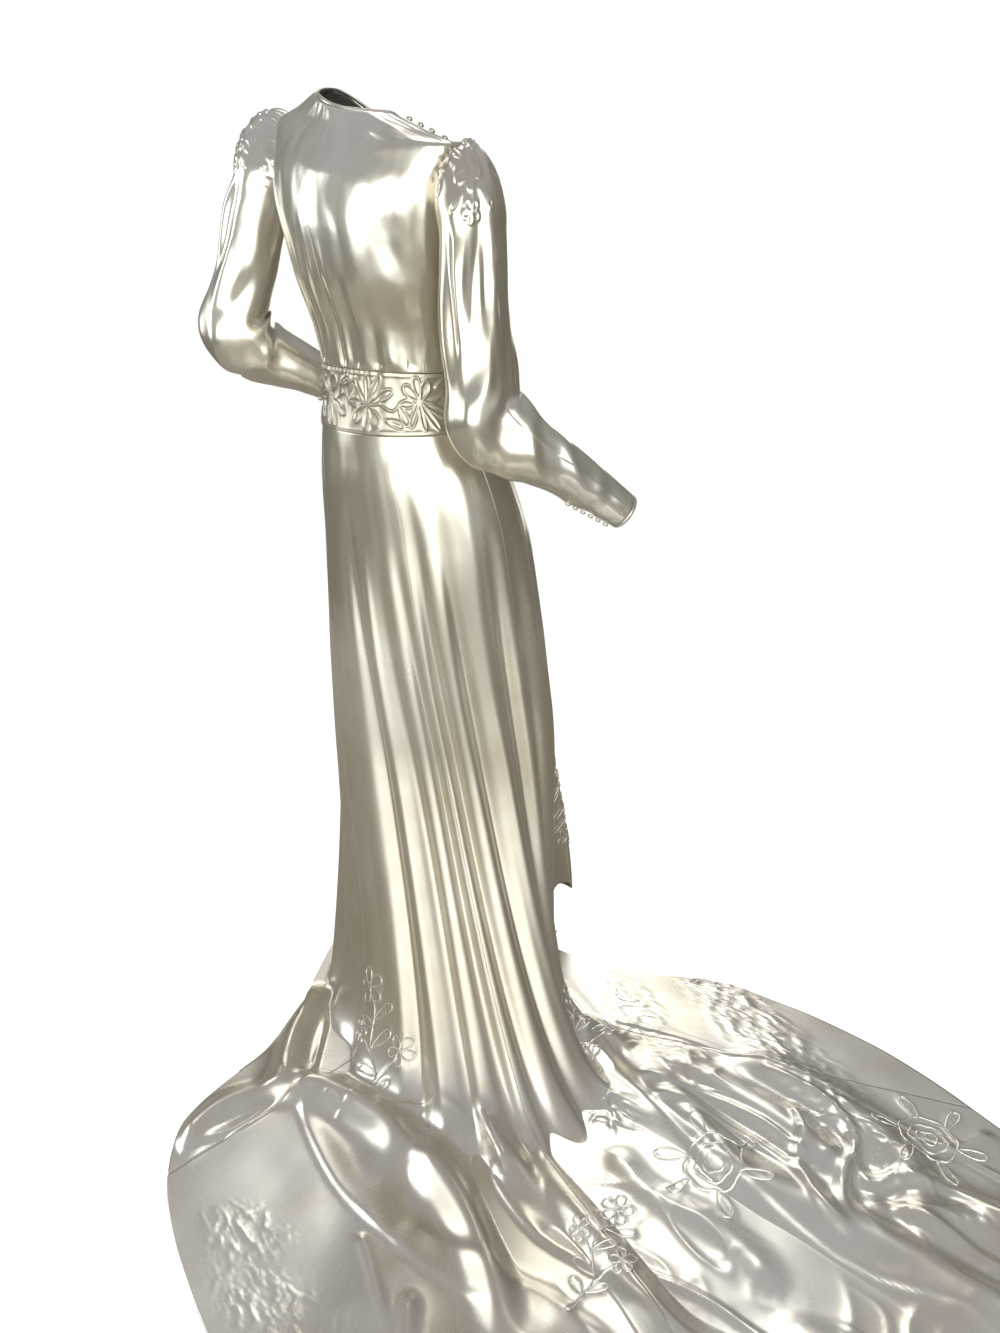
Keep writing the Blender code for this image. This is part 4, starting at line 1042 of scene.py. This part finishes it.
def grid_normals(points, outwards):
    """Unit normals of a finished grid, on the side that the given ones are."""
    across = np.gradient(points, axis=1)
    along = np.gradient(points, axis=0)
    normal = unit(np.cross(across, along))
    return normal * np.sign((normal * outwards).sum(axis=-1, keepdims=True))


def turned_under(points, normal, axis, end):
    """Two more rows at an edge, the first a cloth's thickness below it and the second drawn in."""
    edge = np.take(points, -1 if end else 0, axis=axis)
    inner = np.take(points, -3 if end else 2, axis=axis)
    below = np.take(normal, -1 if end else 0, axis=axis)
    inwards = unit(inner - edge)
    first = edge - below * CLOTH_DROP
    second = edge - below * CLOTH_DROP * 1.3 + inwards * TURNED_EDGE
    rows = (first, second) if end else (second, first)
    rows = np.stack(rows, axis=axis)
    return np.concatenate((points, rows) if end else (rows, points), axis=axis)


def cloth(name, points, outwards, u_length, v_length, closed=False):
    """A piece of cloth as one sheet, its edges turned under, with metres for its UV map."""
    points = parted(points, closed)
    normal = grid_normals(points, outwards)
    if not closed:
        for end in (False, True):
            points = turned_under(points, normal, 1, end)
            edge = normal[:, -1:] if end else normal[:, :1]
            normal = np.concatenate((normal, edge, edge) if end else (edge, edge, normal), axis=1)
    for end in (False, True):
        points = turned_under(points, normal, 0, end)
    rows, columns = points.shape[:2]
    spans = columns if closed else columns - 1
    row, column = np.meshgrid(np.arange(rows - 1), np.arange(spans), indexing="ij")
    here, beside = row * columns + column, row * columns + (column + 1) % columns
    faces = np.stack([here, beside, beside + columns, here + columns], axis=-1)
    middle = (rows // 2, columns // 2)
    corners = points.reshape(-1, 3)[faces[middle]]
    looks = np.cross(corners[1] - corners[0], corners[2] - corners[0])
    share_u = np.stack([column, column + 1, column + 1, column], axis=-1) / spans
    share_v = np.stack([row, row, row + 1, row + 1], axis=-1) / (rows - 1)
    if looks @ outwards[outwards.shape[0] // 2, outwards.shape[1] // 2] < 0:
        faces, share_u, share_v = faces[..., ::-1], share_u[..., ::-1], share_v[..., ::-1]
    mesh = bpy.data.meshes.new(name)
    mesh.from_pydata(lowered(points).reshape(-1, 3).tolist(), [], faces.reshape(-1, 4).tolist())
    places = np.stack([share_u * u_length, share_v * v_length], axis=-1)
    mesh.uv_layers.new(name="cloth").data.foreach_set("uv", places.ravel())
    return shown(mesh)


def shown(mesh):
    """A new object of the scene for a finished mesh."""
    mesh.shade_smooth()
    piece = bpy.data.objects.new(mesh.name, mesh)
    bpy.context.scene.collection.objects.link(piece)
    return piece


def body(name, points, faces, rise):
    """A closed piece with its faces outwards. rise is how much its height counts in its UVs."""
    mesh = bpy.data.meshes.new(name)
    mesh.from_pydata(points, [], faces)
    shape = bmesh.new()
    shape.from_mesh(mesh)
    bmesh.ops.recalc_face_normals(shape, faces=shape.faces)
    shape.to_mesh(mesh)
    shape.free()
    places = np.array([mesh.vertices[loop.vertex_index].co[:] for loop in mesh.loops])
    mesh.uv_layers.new(name="cloth").data.foreach_set("uv", (places[:, :2] + rise * places[:, 2:]).ravel())
    return shown(mesh)


def joined(parts):
    """The points and faces of many parts as one list of each."""
    points, faces = [], []
    for more, sides in parts:
        faces += [tuple(len(points) + corner for corner in face) for face in sides]
        points += [tuple(point) for point in more]
    return points, faces


def make_skirt():
    for name, (first, last, columns, hanging, landing) in SKIRT_PANELS.items():
        rows = np.linspace(0, LANDS_AT, hanging)
        if landing:
            rows = np.concatenate([rows, np.linspace(LANDS_AT, 1, landing + 1)[1:]])
        angle, down = np.meshgrid(np.linspace(first, last, columns), rows)
        if not landing:
            corner = ease((np.abs(np.linspace(-1, 1, columns)) - 0.6) / 0.4)
            down = down + FRONT_HEM_DROP * (1 - corner) * ease((rows - 0.5) / 0.16)[:, None]
        points = skirt_fine(angle, down)
        outwards = normals(skirt_surface, angle, down, -1)
        points = points + outwards * sprays(points)[..., None]
        width = np.linalg.norm(np.diff(points[hanging // 2], axis=0), axis=-1).sum()
        length = np.linalg.norm(np.diff(points[:, columns // 2], axis=0), axis=-1).sum()
        dress(cloth(name + "_satin", points, outwards, width, length), name)


def make_bodice():
    for name, turn in (("bodice_back_right", 1), ("bodice_back_left", -1)):
        share, up = np.meshgrid(np.linspace(0, 1, 130) ** 1.1, bodice_rows(130))
        fitted(name, bodice_surface, bodice_fine, turn * armhole_edge(up, 1) * share, up, 0.22, 0.39)
    share, up = np.meshgrid(np.linspace(-1, 1, 190), bodice_rows(120))
    angle = 180 + (180 - armhole_edge(up, -1)) * share
    fitted("bodice_front", bodice_surface, bodice_fine, angle, up, 0.4, 0.37)


def fitted(name, surface, fine, angle, up, width, height):
    """A piece of the bodice or the waistband over a grid of angles and places going up."""
    outwards = normals(surface, angle, up, 1)
    dress(cloth(name + "_satin", fine(angle, up), outwards, width, height), name)


def bodice_rows(count):
    """Rows up the bodice, close together at the armhole's two ends."""
    fine = np.linspace(0, 1, 2001)
    density = 1 + 3 * bump((fine - ARMHOLE_LOW) / 0.02) + 3 * bump((fine - ARMHOLE_HIGH) / 0.02)
    total = np.cumsum(density)
    return np.interp(np.linspace(0, 1, count), (total - total[0]) / (total[-1] - total[0]), fine)


def make_band():
    for name, first, last in (("waistband_back", -90, 90), ("waistband_front", 90, 270)):
        angle, up = np.meshgrid(np.linspace(first, last, 280), np.linspace(-0.012, 1.012, 66))
        fitted(name, band_surface, band_fine, angle, up, 0.41, BAND_HEIGHT)


def make_sleeves():
    for word, arm, side in ARMS:
        surface = sleeve_surface(arm, side)
        rows = np.concatenate([np.linspace(0, 0.25, 96), np.linspace(0.25, 1, 140)[1:]])
        around, along = np.meshgrid(np.arange(200) * 1.8, rows)
        points = sleeve_fine(surface, -side)(around, along)
        outwards = normals(surface, around, along, -side)
        piece = cloth(f"sleeve_{word}_satin", points, outwards, 0.33, SLEEVE_LENGTH, closed=True)
        dress(piece, f"sleeve_upper_{word}", f"sleeve_lower_{word}")
        binding(f"cuff_{word}", surface, CUFF_SIDES, -side)


def binding(name, surface, sides, sign):
    """A rounded binding that carries a surface on past its edge, as a closed tube."""
    around = np.arange(sides) * 360 / sides
    edge = surface(around, np.full(sides, 1.0))
    before = surface(around, np.full(sides, 0.996))
    outwards = normals(surface, around, np.full(sides, 0.999), sign)
    heading = unit(edge - before)
    turn = np.arange(BINDING_SIDES) * 2 * math.pi / BINDING_SIDES
    half = BINDING_WIDTH / 2
    across = (SEAM + half - half * np.cos(turn))[:, None, None] * heading
    swell = 1 + 0.1 * np.cos(around / 360 * 2 * math.pi * 60)
    rise = (BINDING / 2 * np.sin(turn))[:, None, None] * outwards * swell[:, None]
    points = edge + across + rise - outwards * CLOTH / 2
    faces = []
    for ring in range(BINDING_SIDES):
        for place in range(sides):
            a, b = ring * sides + place, ring * sides + (place + 1) % sides
            step = (ring + 1) % BINDING_SIDES * sides - ring * sides
            faces.append((a, b, b + step, a + step))
    dress(body(name + "_satin", lowered(points).reshape(-1, 3).tolist(), faces, 1.0), name)


def dress(piece, *nodes):
    """A finished piece of satin that stands for its solids."""
    width, length, area, held, satin = CUTS[piece.name.removesuffix("_satin")]
    piece.data.materials.append(satin)
    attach(piece, "root")
    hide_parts(*nodes)


# Shader maths


class Value:
    """An output of a node, which takes part in Python expressions."""

    def __init__(self, tree, socket):
        self.tree, self.socket = tree, socket

    def combined(self, operation, first, second):
        return self.tree.add("ShaderNodeMath", {0: first, 1: second}, operation=operation)

    def __add__(self, other):
        return self.combined("ADD", self, other)

    def __mul__(self, other):
        return self.combined("MULTIPLY", self, other)

    def __rsub__(self, other):
        return self.combined("SUBTRACT", other, self)

    __radd__ = __add__
    __rmul__ = __mul__


class Nodes:
    """The nodes of a material, of the world or of a tree of Geometry Nodes."""

    def __init__(self, tree):
        self.nodes, self.links = tree.nodes, tree.links

    def node(self, kind, inputs=None, **settings):
        made = self.nodes.new(kind)
        for key, setting in settings.items():
            setattr(made, key, setting)
        self.fill(made, inputs or {})
        return made

    def add(self, kind, inputs=None, output=0, **settings):
        return self.out(self.node(kind, inputs, **settings), output)

    def out(self, node, output=0):
        return Value(self, node.outputs[output])

    def fill(self, node, inputs):
        for key, given in inputs.items():
            if isinstance(given, Value):
                self.links.new(given.socket, node.inputs[key])
            else:
                node.inputs[key].default_value = given

    def towards(self, vector, way):
        """How far a direction looks the given way, from -1 to 1."""
        length = math.sqrt(sum(part * part for part in way))
        way = tuple(part / length for part in way)
        return self.add("ShaderNodeVectorMath", {0: vector, 1: way}, "Value", operation="DOT_PRODUCT")

    def noise(self, vector, scale, detail, roughness=0.5, distortion=0.0):
        inputs = {"Vector": vector, "Scale": scale, "Detail": detail, "Roughness": roughness}
        inputs["Distortion"] = distortion
        return self.add("ShaderNodeTexNoise", inputs, "Fac", noise_dimensions="3D")

    def threads(self, vector, scale, detail, roughness=0.5):
        """Noise that is drawn out into threads by a scale for each direction."""
        stretched = self.add("ShaderNodeMapping", {"Vector": vector, "Scale": scale}, vector_type="POINT")
        return self.noise(stretched, 1.0, detail, roughness)

    def mixed(self, share, first, second):
        return self.add("ShaderNodeMix", {0: share, 6: first, 7: second}, 2, data_type="RGBA")

    def within(self, given, low, high):
        """A soft step of a value from 0 at low to 1 at high."""
        inputs = {"Value": given, "From Min": low, "From Max": high}
        return self.add("ShaderNodeMapRange", inputs, "Result", interpolation_type="SMOOTHSTEP")


def new_material(name):
    """A material, its nodes and its Principled BSDF."""
    material = bpy.data.materials.new(name)
    material.use_nodes = True
    net = Nodes(material.node_tree)
    return material, net, net.nodes["Principled BSDF"]


# The satin's colour is drawn towards this dark brown between its warp threads, and, as painted shade, on the
# lower skirt
WEAVE_AND_PAINTED_SHADE = (0.3, 0.25, 0.17, 1)  # what the satin darkens to, between its threads and low down


def satin_material(name, light, deep, shine):
    """Glossy satin: fine warp lines, faint slubs, small wrinkles, a tone that deepens at random, and painted
    shade that makes the lower skirt darker and yellower.
    """
    material, net, surface = new_material(name)
    place = net.node("ShaderNodeTexCoord")
    on_cloth, in_space = net.out(place, "UV"), net.out(place, "Object")
    warp = net.threads(on_cloth, (900.0, 7.0, 1.0), 2.0, 0.6)
    weft = net.threads(on_cloth, (14.0, 1300.0, 1.0), 1.0)
    aged = net.noise(in_space, 3.1, 3.0, 0.55)
    mottle = net.noise(in_space, 21.0, 3.0, 0.6)
    rub = net.noise(in_space, 47.0, 4.0, 0.65, 0.6)
    wrinkle = net.noise(in_space, 22.0, 2.0, 0.45, 0.5)
    upward = net.add("ShaderNodeSeparateXYZ", {0: in_space}, "Z")
    # Painted shade: 1 on the lower skirt from about 0.12 m to 0.4 m above the floor, fading out by 0.84 m; it
    # darkens and yellows the colour and also roughens the satin
    low = (1 - net.within(upward, -1.1, -0.66)) * net.within(upward, -1.53, -1.38)
    depth = net.within(0.75 * aged + 0.25 * mottle, 0.36, 0.66)
    colour = net.mixed(depth, (*light, 1), (*deep, 1))
    thread = net.within(warp, 0.3, 0.72)
    height = 0.002 * warp + 0.001 * weft + 0.002 * rub + 0.09 * wrinkle
    inputs = {
        # The base colour darkens a little between the warp threads, and as painted shade on the lower skirt
        "Base Color": net.mixed(0.06 * thread + 0.46 * low, colour, WEAVE_AND_PAINTED_SHADE),
        "Roughness": shine + 0.08 * mottle + 0.16 * low,
        "Metallic": 0.82,
        "Specular IOR Level": 0.7,
        "Sheen Weight": 0.08,
        "Sheen Roughness": 0.4,
        "Normal": net.add("ShaderNodeBump", {"Strength": 1.0, "Distance": 0.001, "Height": height}),
    }
    net.fill(surface, inputs)
    return material


SATIN = satin_material("glossy_satin", (0.76, 0.735, 0.67), (0.62, 0.575, 0.475), 0.2)
BINDING_SATIN = satin_material("binding_satin", (0.66, 0.625, 0.55), (0.54, 0.49, 0.4), 0.28)
BUTTON_SATIN = satin_material("button_satin", (0.72, 0.69, 0.62), (0.6, 0.55, 0.46), 0.25)
# The waistband's satin is a darker, rougher copy of the glossy satin: painted shade for the band's ground
# between its cords
SHADED_BAND_SATIN = satin_material("band_satin", (0.6, 0.57, 0.5), (0.47, 0.43, 0.35), 0.3)
CORD_SATIN = satin_material("cord_satin", (0.82, 0.8, 0.75), (0.72, 0.69, 0.62), 0.22)
THREAD = satin_material("silk_thread", (0.7, 0.67, 0.6), (0.62, 0.58, 0.5), 0.4)

# What each piece was cut to: width, length, area, how it is held, and its satin. A binding is
# folded round an edge, so half of its strip counts as its area.
CUTS = {
    "skirt_front": (0.382, 1.052, 0.31, "hung", SATIN),
    "skirt_side_left": (0.316, 1.144, 0.223, "hung", SATIN),
    "skirt_back_left": (0.717, 1.508, 0.382, "hung", SATIN),
    "skirt_back_centre": (1.25, 2.133, 0.827, "hung", SATIN),
    "skirt_back_right": (1.171, 2.185, 0.913, "hung", SATIN),
    "skirt_side_right": (0.56, 1.802, 0.334, "hung", SATIN),
    "bodice_back_right": (0.26, 0.42, 0.09, "gathered", SATIN),
    "bodice_back_left": (0.26, 0.42, 0.096, "gathered", SATIN),
    "bodice_front": (0.44, 0.4, 0.152, "gathered", SATIN),
    "waistband_back": (0.42, 0.092, 0.0386, "stretched", SHADED_BAND_SATIN),
    "waistband_front": (0.42, 0.092, 0.0386, "stretched", SHADED_BAND_SATIN),
    "sleeve_right": (0.4, 0.64, 0.189, "gathered", SATIN),
    "sleeve_left": (0.4, 0.64, 0.186, "gathered", SATIN),
    "neck_binding": (0.385, 0.0133, 0.0026, "stretched", BINDING_SATIN),
    "cuff_right": (0.18, 0.0133, 0.0012, "stretched", BINDING_SATIN),
    "cuff_left": (0.18, 0.0133, 0.0012, "stretched", BINDING_SATIN),
}

make_skirt()
make_bodice()
binding("neck_binding", bodice_surface, NECK_SIDES, 1)
make_band()
make_sleeves()


# Corded flowers, stitches and buttons

CORD_RADIUS = 0.0019
CORD_SIDES = 5
DROP = 0.05  # height over the skirt from which a cord is dropped
LONGEST_STEP = 0.03  # a cord that jumps further has missed the cloth and is left out


def skirt_tree():
    """The finished skirt as one set of faces, for dropping things on to it."""
    points, faces = [], []
    for name in SKIRT_PANELS:
        mesh = bpy.data.objects[name + "_satin"].data
        places = np.empty(3 * len(mesh.vertices))
        corners = np.empty(4 * len(mesh.polygons), dtype=int)
        mesh.vertices.foreach_get("co", places)
        mesh.polygons.foreach_get("vertices", corners)
        faces += (corners.reshape(-1, 4) + len(points)).tolist()
        points += places.reshape(-1, 3).tolist()
    return BVHTree.FromPolygons(points, faces)


def laid(tree, line, middle, across, upwards):
    """A flat line dropped on to the skirt: its places there and the ways the cloth looks."""
    normal = np.cross(across, upwards)
    found = []
    for x, y in line:
        above = middle + across * x + upwards * y + normal * DROP
        place, look, _, _ = tree.ray_cast(Vector(above), Vector(-normal), 2 * DROP)
        if place is not None:
            found.append((np.array(place), np.array(look) * np.sign(np.array(look) @ normal)))
    return found


def cord_tube(found):
    """A cord half sunk in the cloth, thin at its ends."""
    places = np.array([place for place, _ in found])
    looks = np.array([look for _, look in found])
    beside = unit(np.cross(np.gradient(places, axis=0), looks))
    count = len(places)
    radius = np.full((count, 1), CORD_RADIUS)
    if np.linalg.norm(places[0] - places[-1]) >= 0.002:
        radius[[0, -1]] *= 0.3
    points, faces = [], []
    for number in range(CORD_SIDES):
        turn = 2 * math.pi * number / CORD_SIDES
        points.append(places + radius * (math.cos(turn) * beside + math.sin(turn) * looks))
        here, there = number * count, (number + 1) % CORD_SIDES * count
        faces += [(here + k, here + k + 1, there + k + 1, there + k) for k in range(count - 1)]
    return np.concatenate(points), faces


def make_sprays():
    """The outlines of the skirt's corded flowers, as fine cords on the cloth."""
    tree = skirt_tree()
    tubes = []
    for middle, across, upwards, _, lines in SPRAY_PLACES:
        for line in lines:
            found = laid(tree, line, lowered(middle), across, upwards)
            steps = [np.linalg.norm(a[0] - b[0]) for a, b in zip(found[:-1], found[1:])]
            if len(found) > 2 and max(steps) < LONGEST_STEP:
                tubes.append(cord_tube(found))
    piece = body("corded_sprays", *joined(tubes), 0.3)
    piece.data.materials.append(CORD_SATIN)
    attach(piece, "root")


make_sprays()

STITCH_SIZES = {"Pitch": 0.0034, "Radius": 0.00028, "Slenderness": 3.4}


def stitch_nodes():
    """Stitches at an even pitch along lines, as a tree of Geometry Nodes."""
    tree = bpy.data.node_groups.new("stitches", "GeometryNodeTree")
    sockets = tree.interface
    sockets.new_socket("Lines", in_out="INPUT", socket_type="NodeSocketGeometry")
    named = {}
    for name in STITCH_SIZES:
        named[name] = sockets.new_socket(name, in_out="INPUT", socket_type="NodeSocketFloat").identifier
    sockets.new_socket("Stitches", in_out="OUTPUT", socket_type="NodeSocketGeometry")
    net = Nodes(tree)
    given = net.node("NodeGroupInput")
    lines, pitch, radius, slenderness = (net.out(given, name) for name in ("Lines", *STITCH_SIZES))
    curve = net.add("GeometryNodeMeshToCurve", {"Mesh": lines})
    spots = net.node("GeometryNodeCurveToPoints", {"Curve": curve, "Length": pitch}, mode="LENGTH")
    bead = net.add("GeometryNodeMeshUVSphere", {"Segments": 6, "Rings": 4, "Radius": radius})
    size = net.add("ShaderNodeCombineXYZ", {"X": 1.0, "Y": 1.0, "Z": slenderness})
    stitch = net.add("GeometryNodeTransform", {"Geometry": bead, "Scale": size})
    inputs = {"Points": net.out(spots, "Points"), "Rotation": net.out(spots, "Rotation"), "Instance": stitch}
    sewn = net.add("GeometryNodeInstanceOnPoints", inputs)
    real = net.add("GeometryNodeRealizeInstances", {"Geometry": sewn})
    paint = net.add("GeometryNodeSetMaterial", {"Geometry": real, "Material": THREAD})
    net.node("NodeGroupOutput", {"Stitches": paint})
    return tree, named


def stitch_rings():
    """The sewn lines: along the neck binding, both edges of the waistband and the cuffs."""
    turn = np.linspace(0, 360, 181)[:-1]
    sewn = [
        (bodice_fine, bodice_surface, 0.988, 1),
        (band_fine, band_surface, 0.045, 1),
        (band_fine, band_surface, 0.955, 1),
    ]
    for _, arm, side in ARMS:
        surface = sleeve_surface(arm, side)
        sewn.append((sleeve_fine(surface, -side), surface, 0.984, -side))
    rings = []
    for fine, surface, place, sign in sewn:
        at = np.full(turn.shape, place)
        rings.append(fine(turn, at) + normals(surface, turn, at, sign) * STITCH_SIZES["Radius"] * 0.6)
    return rings


def make_stitches():
    edges, start = [], 0
    rings = stitch_rings()
    for ring in rings:
        edges += [(start + k, start + (k + 1) % len(ring)) for k in range(len(ring))]
        start += len(ring)
    lines = bpy.data.meshes.new("stitches")
    lines.from_pydata(lowered(np.concatenate(rings)).tolist(), edges, [])
    piece = shown(lines)
    tree, named = stitch_nodes()
    sewn = piece.modifiers.new("stitches", "NODES")
    sewn.node_group = tree
    for name, amount in STITCH_SIZES.items():
        sewn[named[name]] = amount
    graph = bpy.context.evaluated_depsgraph_get()
    piece.data = bpy.data.meshes.new_from_object(piece.evaluated_get(graph))
    piece.modifiers.clear()
    piece.data.shade_smooth()
    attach(piece, "root")


make_stitches()

BUTTONS = [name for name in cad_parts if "button" in name]
BUTTON_TURNS = 24
# Rings of a button from its back to its top: share of its radius, and height
BUTTON_RINGS = (
    (0.3, 0.0), (0.86, 0.0001), (1.0, 0.0011), (0.97, 0.0026), (0.82, 0.0038), (0.52, 0.0046), (0.18, 0.0049),
)


def button_places():
    """The middle of each button's flat back, and the way its dome looks."""
    found = []
    for name in BUTTONS:
        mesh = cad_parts[name].data
        looks = np.array([face.normal[:] for face in mesh.polygons])
        areas = np.array([face.area for face in mesh.polygons])
        middles = np.array([face.center[:] for face in mesh.polygons])
        alike = (looks @ looks.T > 0.99) @ areas
        back = looks @ looks[alike.argmax()] > 0.99
        place = np.average(middles[back], axis=0, weights=areas[back])
        found.append((place, -looks[alike.argmax()]))
    return found


def covered_button(place, up):
    """A domed button covered in satin, with its rim drawn in under it."""
    side = unit(np.cross(up, (0.0, 0.0, 1.0)))
    across = np.cross(up, side)
    points, faces = [], []
    for ring, (share, height) in enumerate(BUTTON_RINGS):
        for k in range(BUTTON_TURNS):
            turn = 2 * math.pi * k / BUTTON_TURNS
            radius = BUTTON_RADIUS * share * (1 + 0.015 * math.cos(6 * turn) * (height < 0.002))
            spoke = side * radius * math.cos(turn) + across * radius * math.sin(turn)
            points.append(place + spoke + up * height)
            if ring:
                a = (ring - 1) * BUTTON_TURNS + k
                b = (ring - 1) * BUTTON_TURNS + (k + 1) % BUTTON_TURNS
                faces.append((a, b, b + BUTTON_TURNS, a + BUTTON_TURNS))
    faces.append(tuple(reversed(range(BUTTON_TURNS))))
    faces.append(tuple(range(len(points) - BUTTON_TURNS, len(points))))
    return points, faces


def make_buttons():
    piece = body("covered_buttons", *joined(covered_button(*place) for place in button_places()), 0.3)
    piece.data.materials.append(BUTTON_SATIN)
    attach(piece, "root")
    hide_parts(*BUTTONS)


make_buttons()


# Camera, floor and light

FOCAL_PX, FRAME_PX = 1000.0, 1333.0  # focal length and height of the frame
CAMERA_PLACE = Vector((-1.28, 1.054, -0.147))
CAMERA_DOWN = math.radians(23)
SENSOR = 36.0
LOOKS = Vector((1, -1, 0)).normalized()
FLOOR_AT = CAD_BOX[0][2]


def make_camera():
    """A camera that looks a little down on the dress, from behind and from its right."""
    lens = bpy.data.cameras.new("camera")
    lens.sensor_fit = "VERTICAL"
    lens.sensor_height = SENSOR
    lens.lens = SENSOR * FOCAL_PX / FRAME_PX
    lens.clip_start = 0.01
    camera = bpy.data.objects.new("camera", lens)
    bpy.context.scene.collection.objects.link(camera)
    view = LOOKS * math.cos(CAMERA_DOWN) + Vector((0, 0, -math.sin(CAMERA_DOWN)))
    right = view.cross(Vector((0, 0, 1))).normalized()
    upright = right.cross(view)
    turn = Matrix((right, upright, -view)).transposed().to_4x4()
    camera.matrix_world = Matrix.Translation(CAMERA_PLACE) @ turn
    bpy.context.scene.camera = camera


# The studio as the satin sees it: bright windows behind the camera and beyond the train
CAMERA_BACK = (-0.7, 0.7, 0.16)  # the way back from the dress towards the camera
WINDOW_LOW, WINDOW_HIGH = (-0.42, -0.14), (0.34, 0.66)  # as the upward part of a direction
WINDOW_SIDES = (0.12, 0.62)  # how far round it reaches, as the part towards CAMERA_BACK
WINDOW_GLOW = (0.44, 0.44, 0.42, 1)
BEYOND = (0.44, -0.49, 0.75)  # the way to a small bright window beyond the train
BEYOND_EDGE = (0.975, 0.997)
BEYOND_GLOW = (4.2, 4.2, 4.1, 1)
ROOM_LOW = (0.13, 0.118, 0.082, 1)
ROOM_HIGH = (0.42, 0.41, 0.44, 1)
BACKDROP = (1.0, 1.0, 1.0, 1)
FLOOR_COLOUR = (0.33, 0.3, 0.235, 1)
FLOOR_GLOW = 1.25
FLOOR_SEEN = 0.9  # share of plain white in the floor as the camera sees it
FLOOR_REACH = 2.3

# Lamps: place, what they aim at, width and height, power and colour
LIGHTS = {
    "window_back": ((-2.15, 2.15, 0.1), (0.0, 0.0, 0.1), (6.8, 1.6), 104, (0.96, 0.99, 1.0)),
    "window_sill": ((-2.15, 2.15, -1.0), (0.0, 0.0, -1.0), (6.8, 0.6), 38, (0.96, 0.99, 1.0)),
    "window_front": ((2.3, -2.5, -0.35), (0.0, 0.0, -0.7), (3.4, 2.0), 46, (1.0, 0.99, 0.97)),
    "window_left": ((2.4, 2.0, 0.3), (0.0, 0.0, -0.6), (1.1, 2.2), 30, (0.93, 0.97, 1.0)),
}


def make_floor():
    """A level floor that the camera sees as plain white and the satin sees as pale grey."""
    mesh = bpy.data.meshes.new("floor")
    low = FLOOR_AT - 0.0005
    corners = [(x * FLOOR_REACH, y * FLOOR_REACH, low) for x, y in ((-1, -1), (1, -1), (1, 1), (-1, 1))]
    mesh.from_pydata(corners, [], [(0, 1, 2, 3)])
    material, net, surface = new_material("pale_floor")
    inputs = {"Base Color": FLOOR_COLOUR, "Roughness": 0.9, "Specular IOR Level": 0.1}
    net.fill(surface, inputs)
    seen = net.add("ShaderNodeLightPath", {}, "Is Camera Ray")
    lit = net.add("ShaderNodeEmission", {"Color": BACKDROP, "Strength": FLOOR_GLOW})
    both = net.add("ShaderNodeMixShader", {0: FLOOR_SEEN * seen, 1: net.out(surface), 2: lit})
    net.fill(net.nodes["Material Output"], {"Surface": both})
    mesh.materials.append(material)
    shown(mesh)


def make_lights():
    for name, (place, aim, (wide, high), power, colour) in LIGHTS.items():
        lamp = bpy.data.lights.new(name, "AREA")
        lamp.shape = "RECTANGLE"
        lamp.size, lamp.size_y = wide, high
        lamp.energy = power
        lamp.color = colour
        light = bpy.data.objects.new(name, lamp)
        light.location = place
        light.rotation_euler = (Vector(aim) - Vector(place)).to_track_quat("-Z", "Y").to_euler()
        light.visible_camera = False
        bpy.context.scene.collection.objects.link(light)


def make_room():
    """The world: a room of windows for the satin to reflect, and a white backdrop for the camera."""
    world = bpy.data.worlds.new("studio")
    world.use_nodes = True
    net = Nodes(world.node_tree)
    looks = net.add("ShaderNodeTexCoord", {}, "Generated")
    upward = net.add("ShaderNodeSeparateXYZ", {0: looks}, "Z")
    window = net.within(upward, *WINDOW_LOW) * (1 - net.within(upward, *WINDOW_HIGH))
    window = window * net.within(net.towards(looks, CAMERA_BACK), *WINDOW_SIDES)
    beyond = net.within(net.towards(looks, BEYOND), *BEYOND_EDGE)
    walls = net.mixed(net.within(upward, 0.0, 0.9), ROOM_LOW, ROOM_HIGH)
    lit = net.mixed(beyond, net.mixed(window, walls, WINDOW_GLOW), BEYOND_GLOW)
    seen = net.add("ShaderNodeLightPath", {}, "Is Camera Ray")
    net.fill(net.nodes["Background"], {"Color": net.mixed(seen, lit, BACKDROP)})
    bpy.context.scene.world = world
    bpy.context.scene.view_settings.view_transform = "Standard"


make_camera()
make_floor()
make_lights()
make_room()
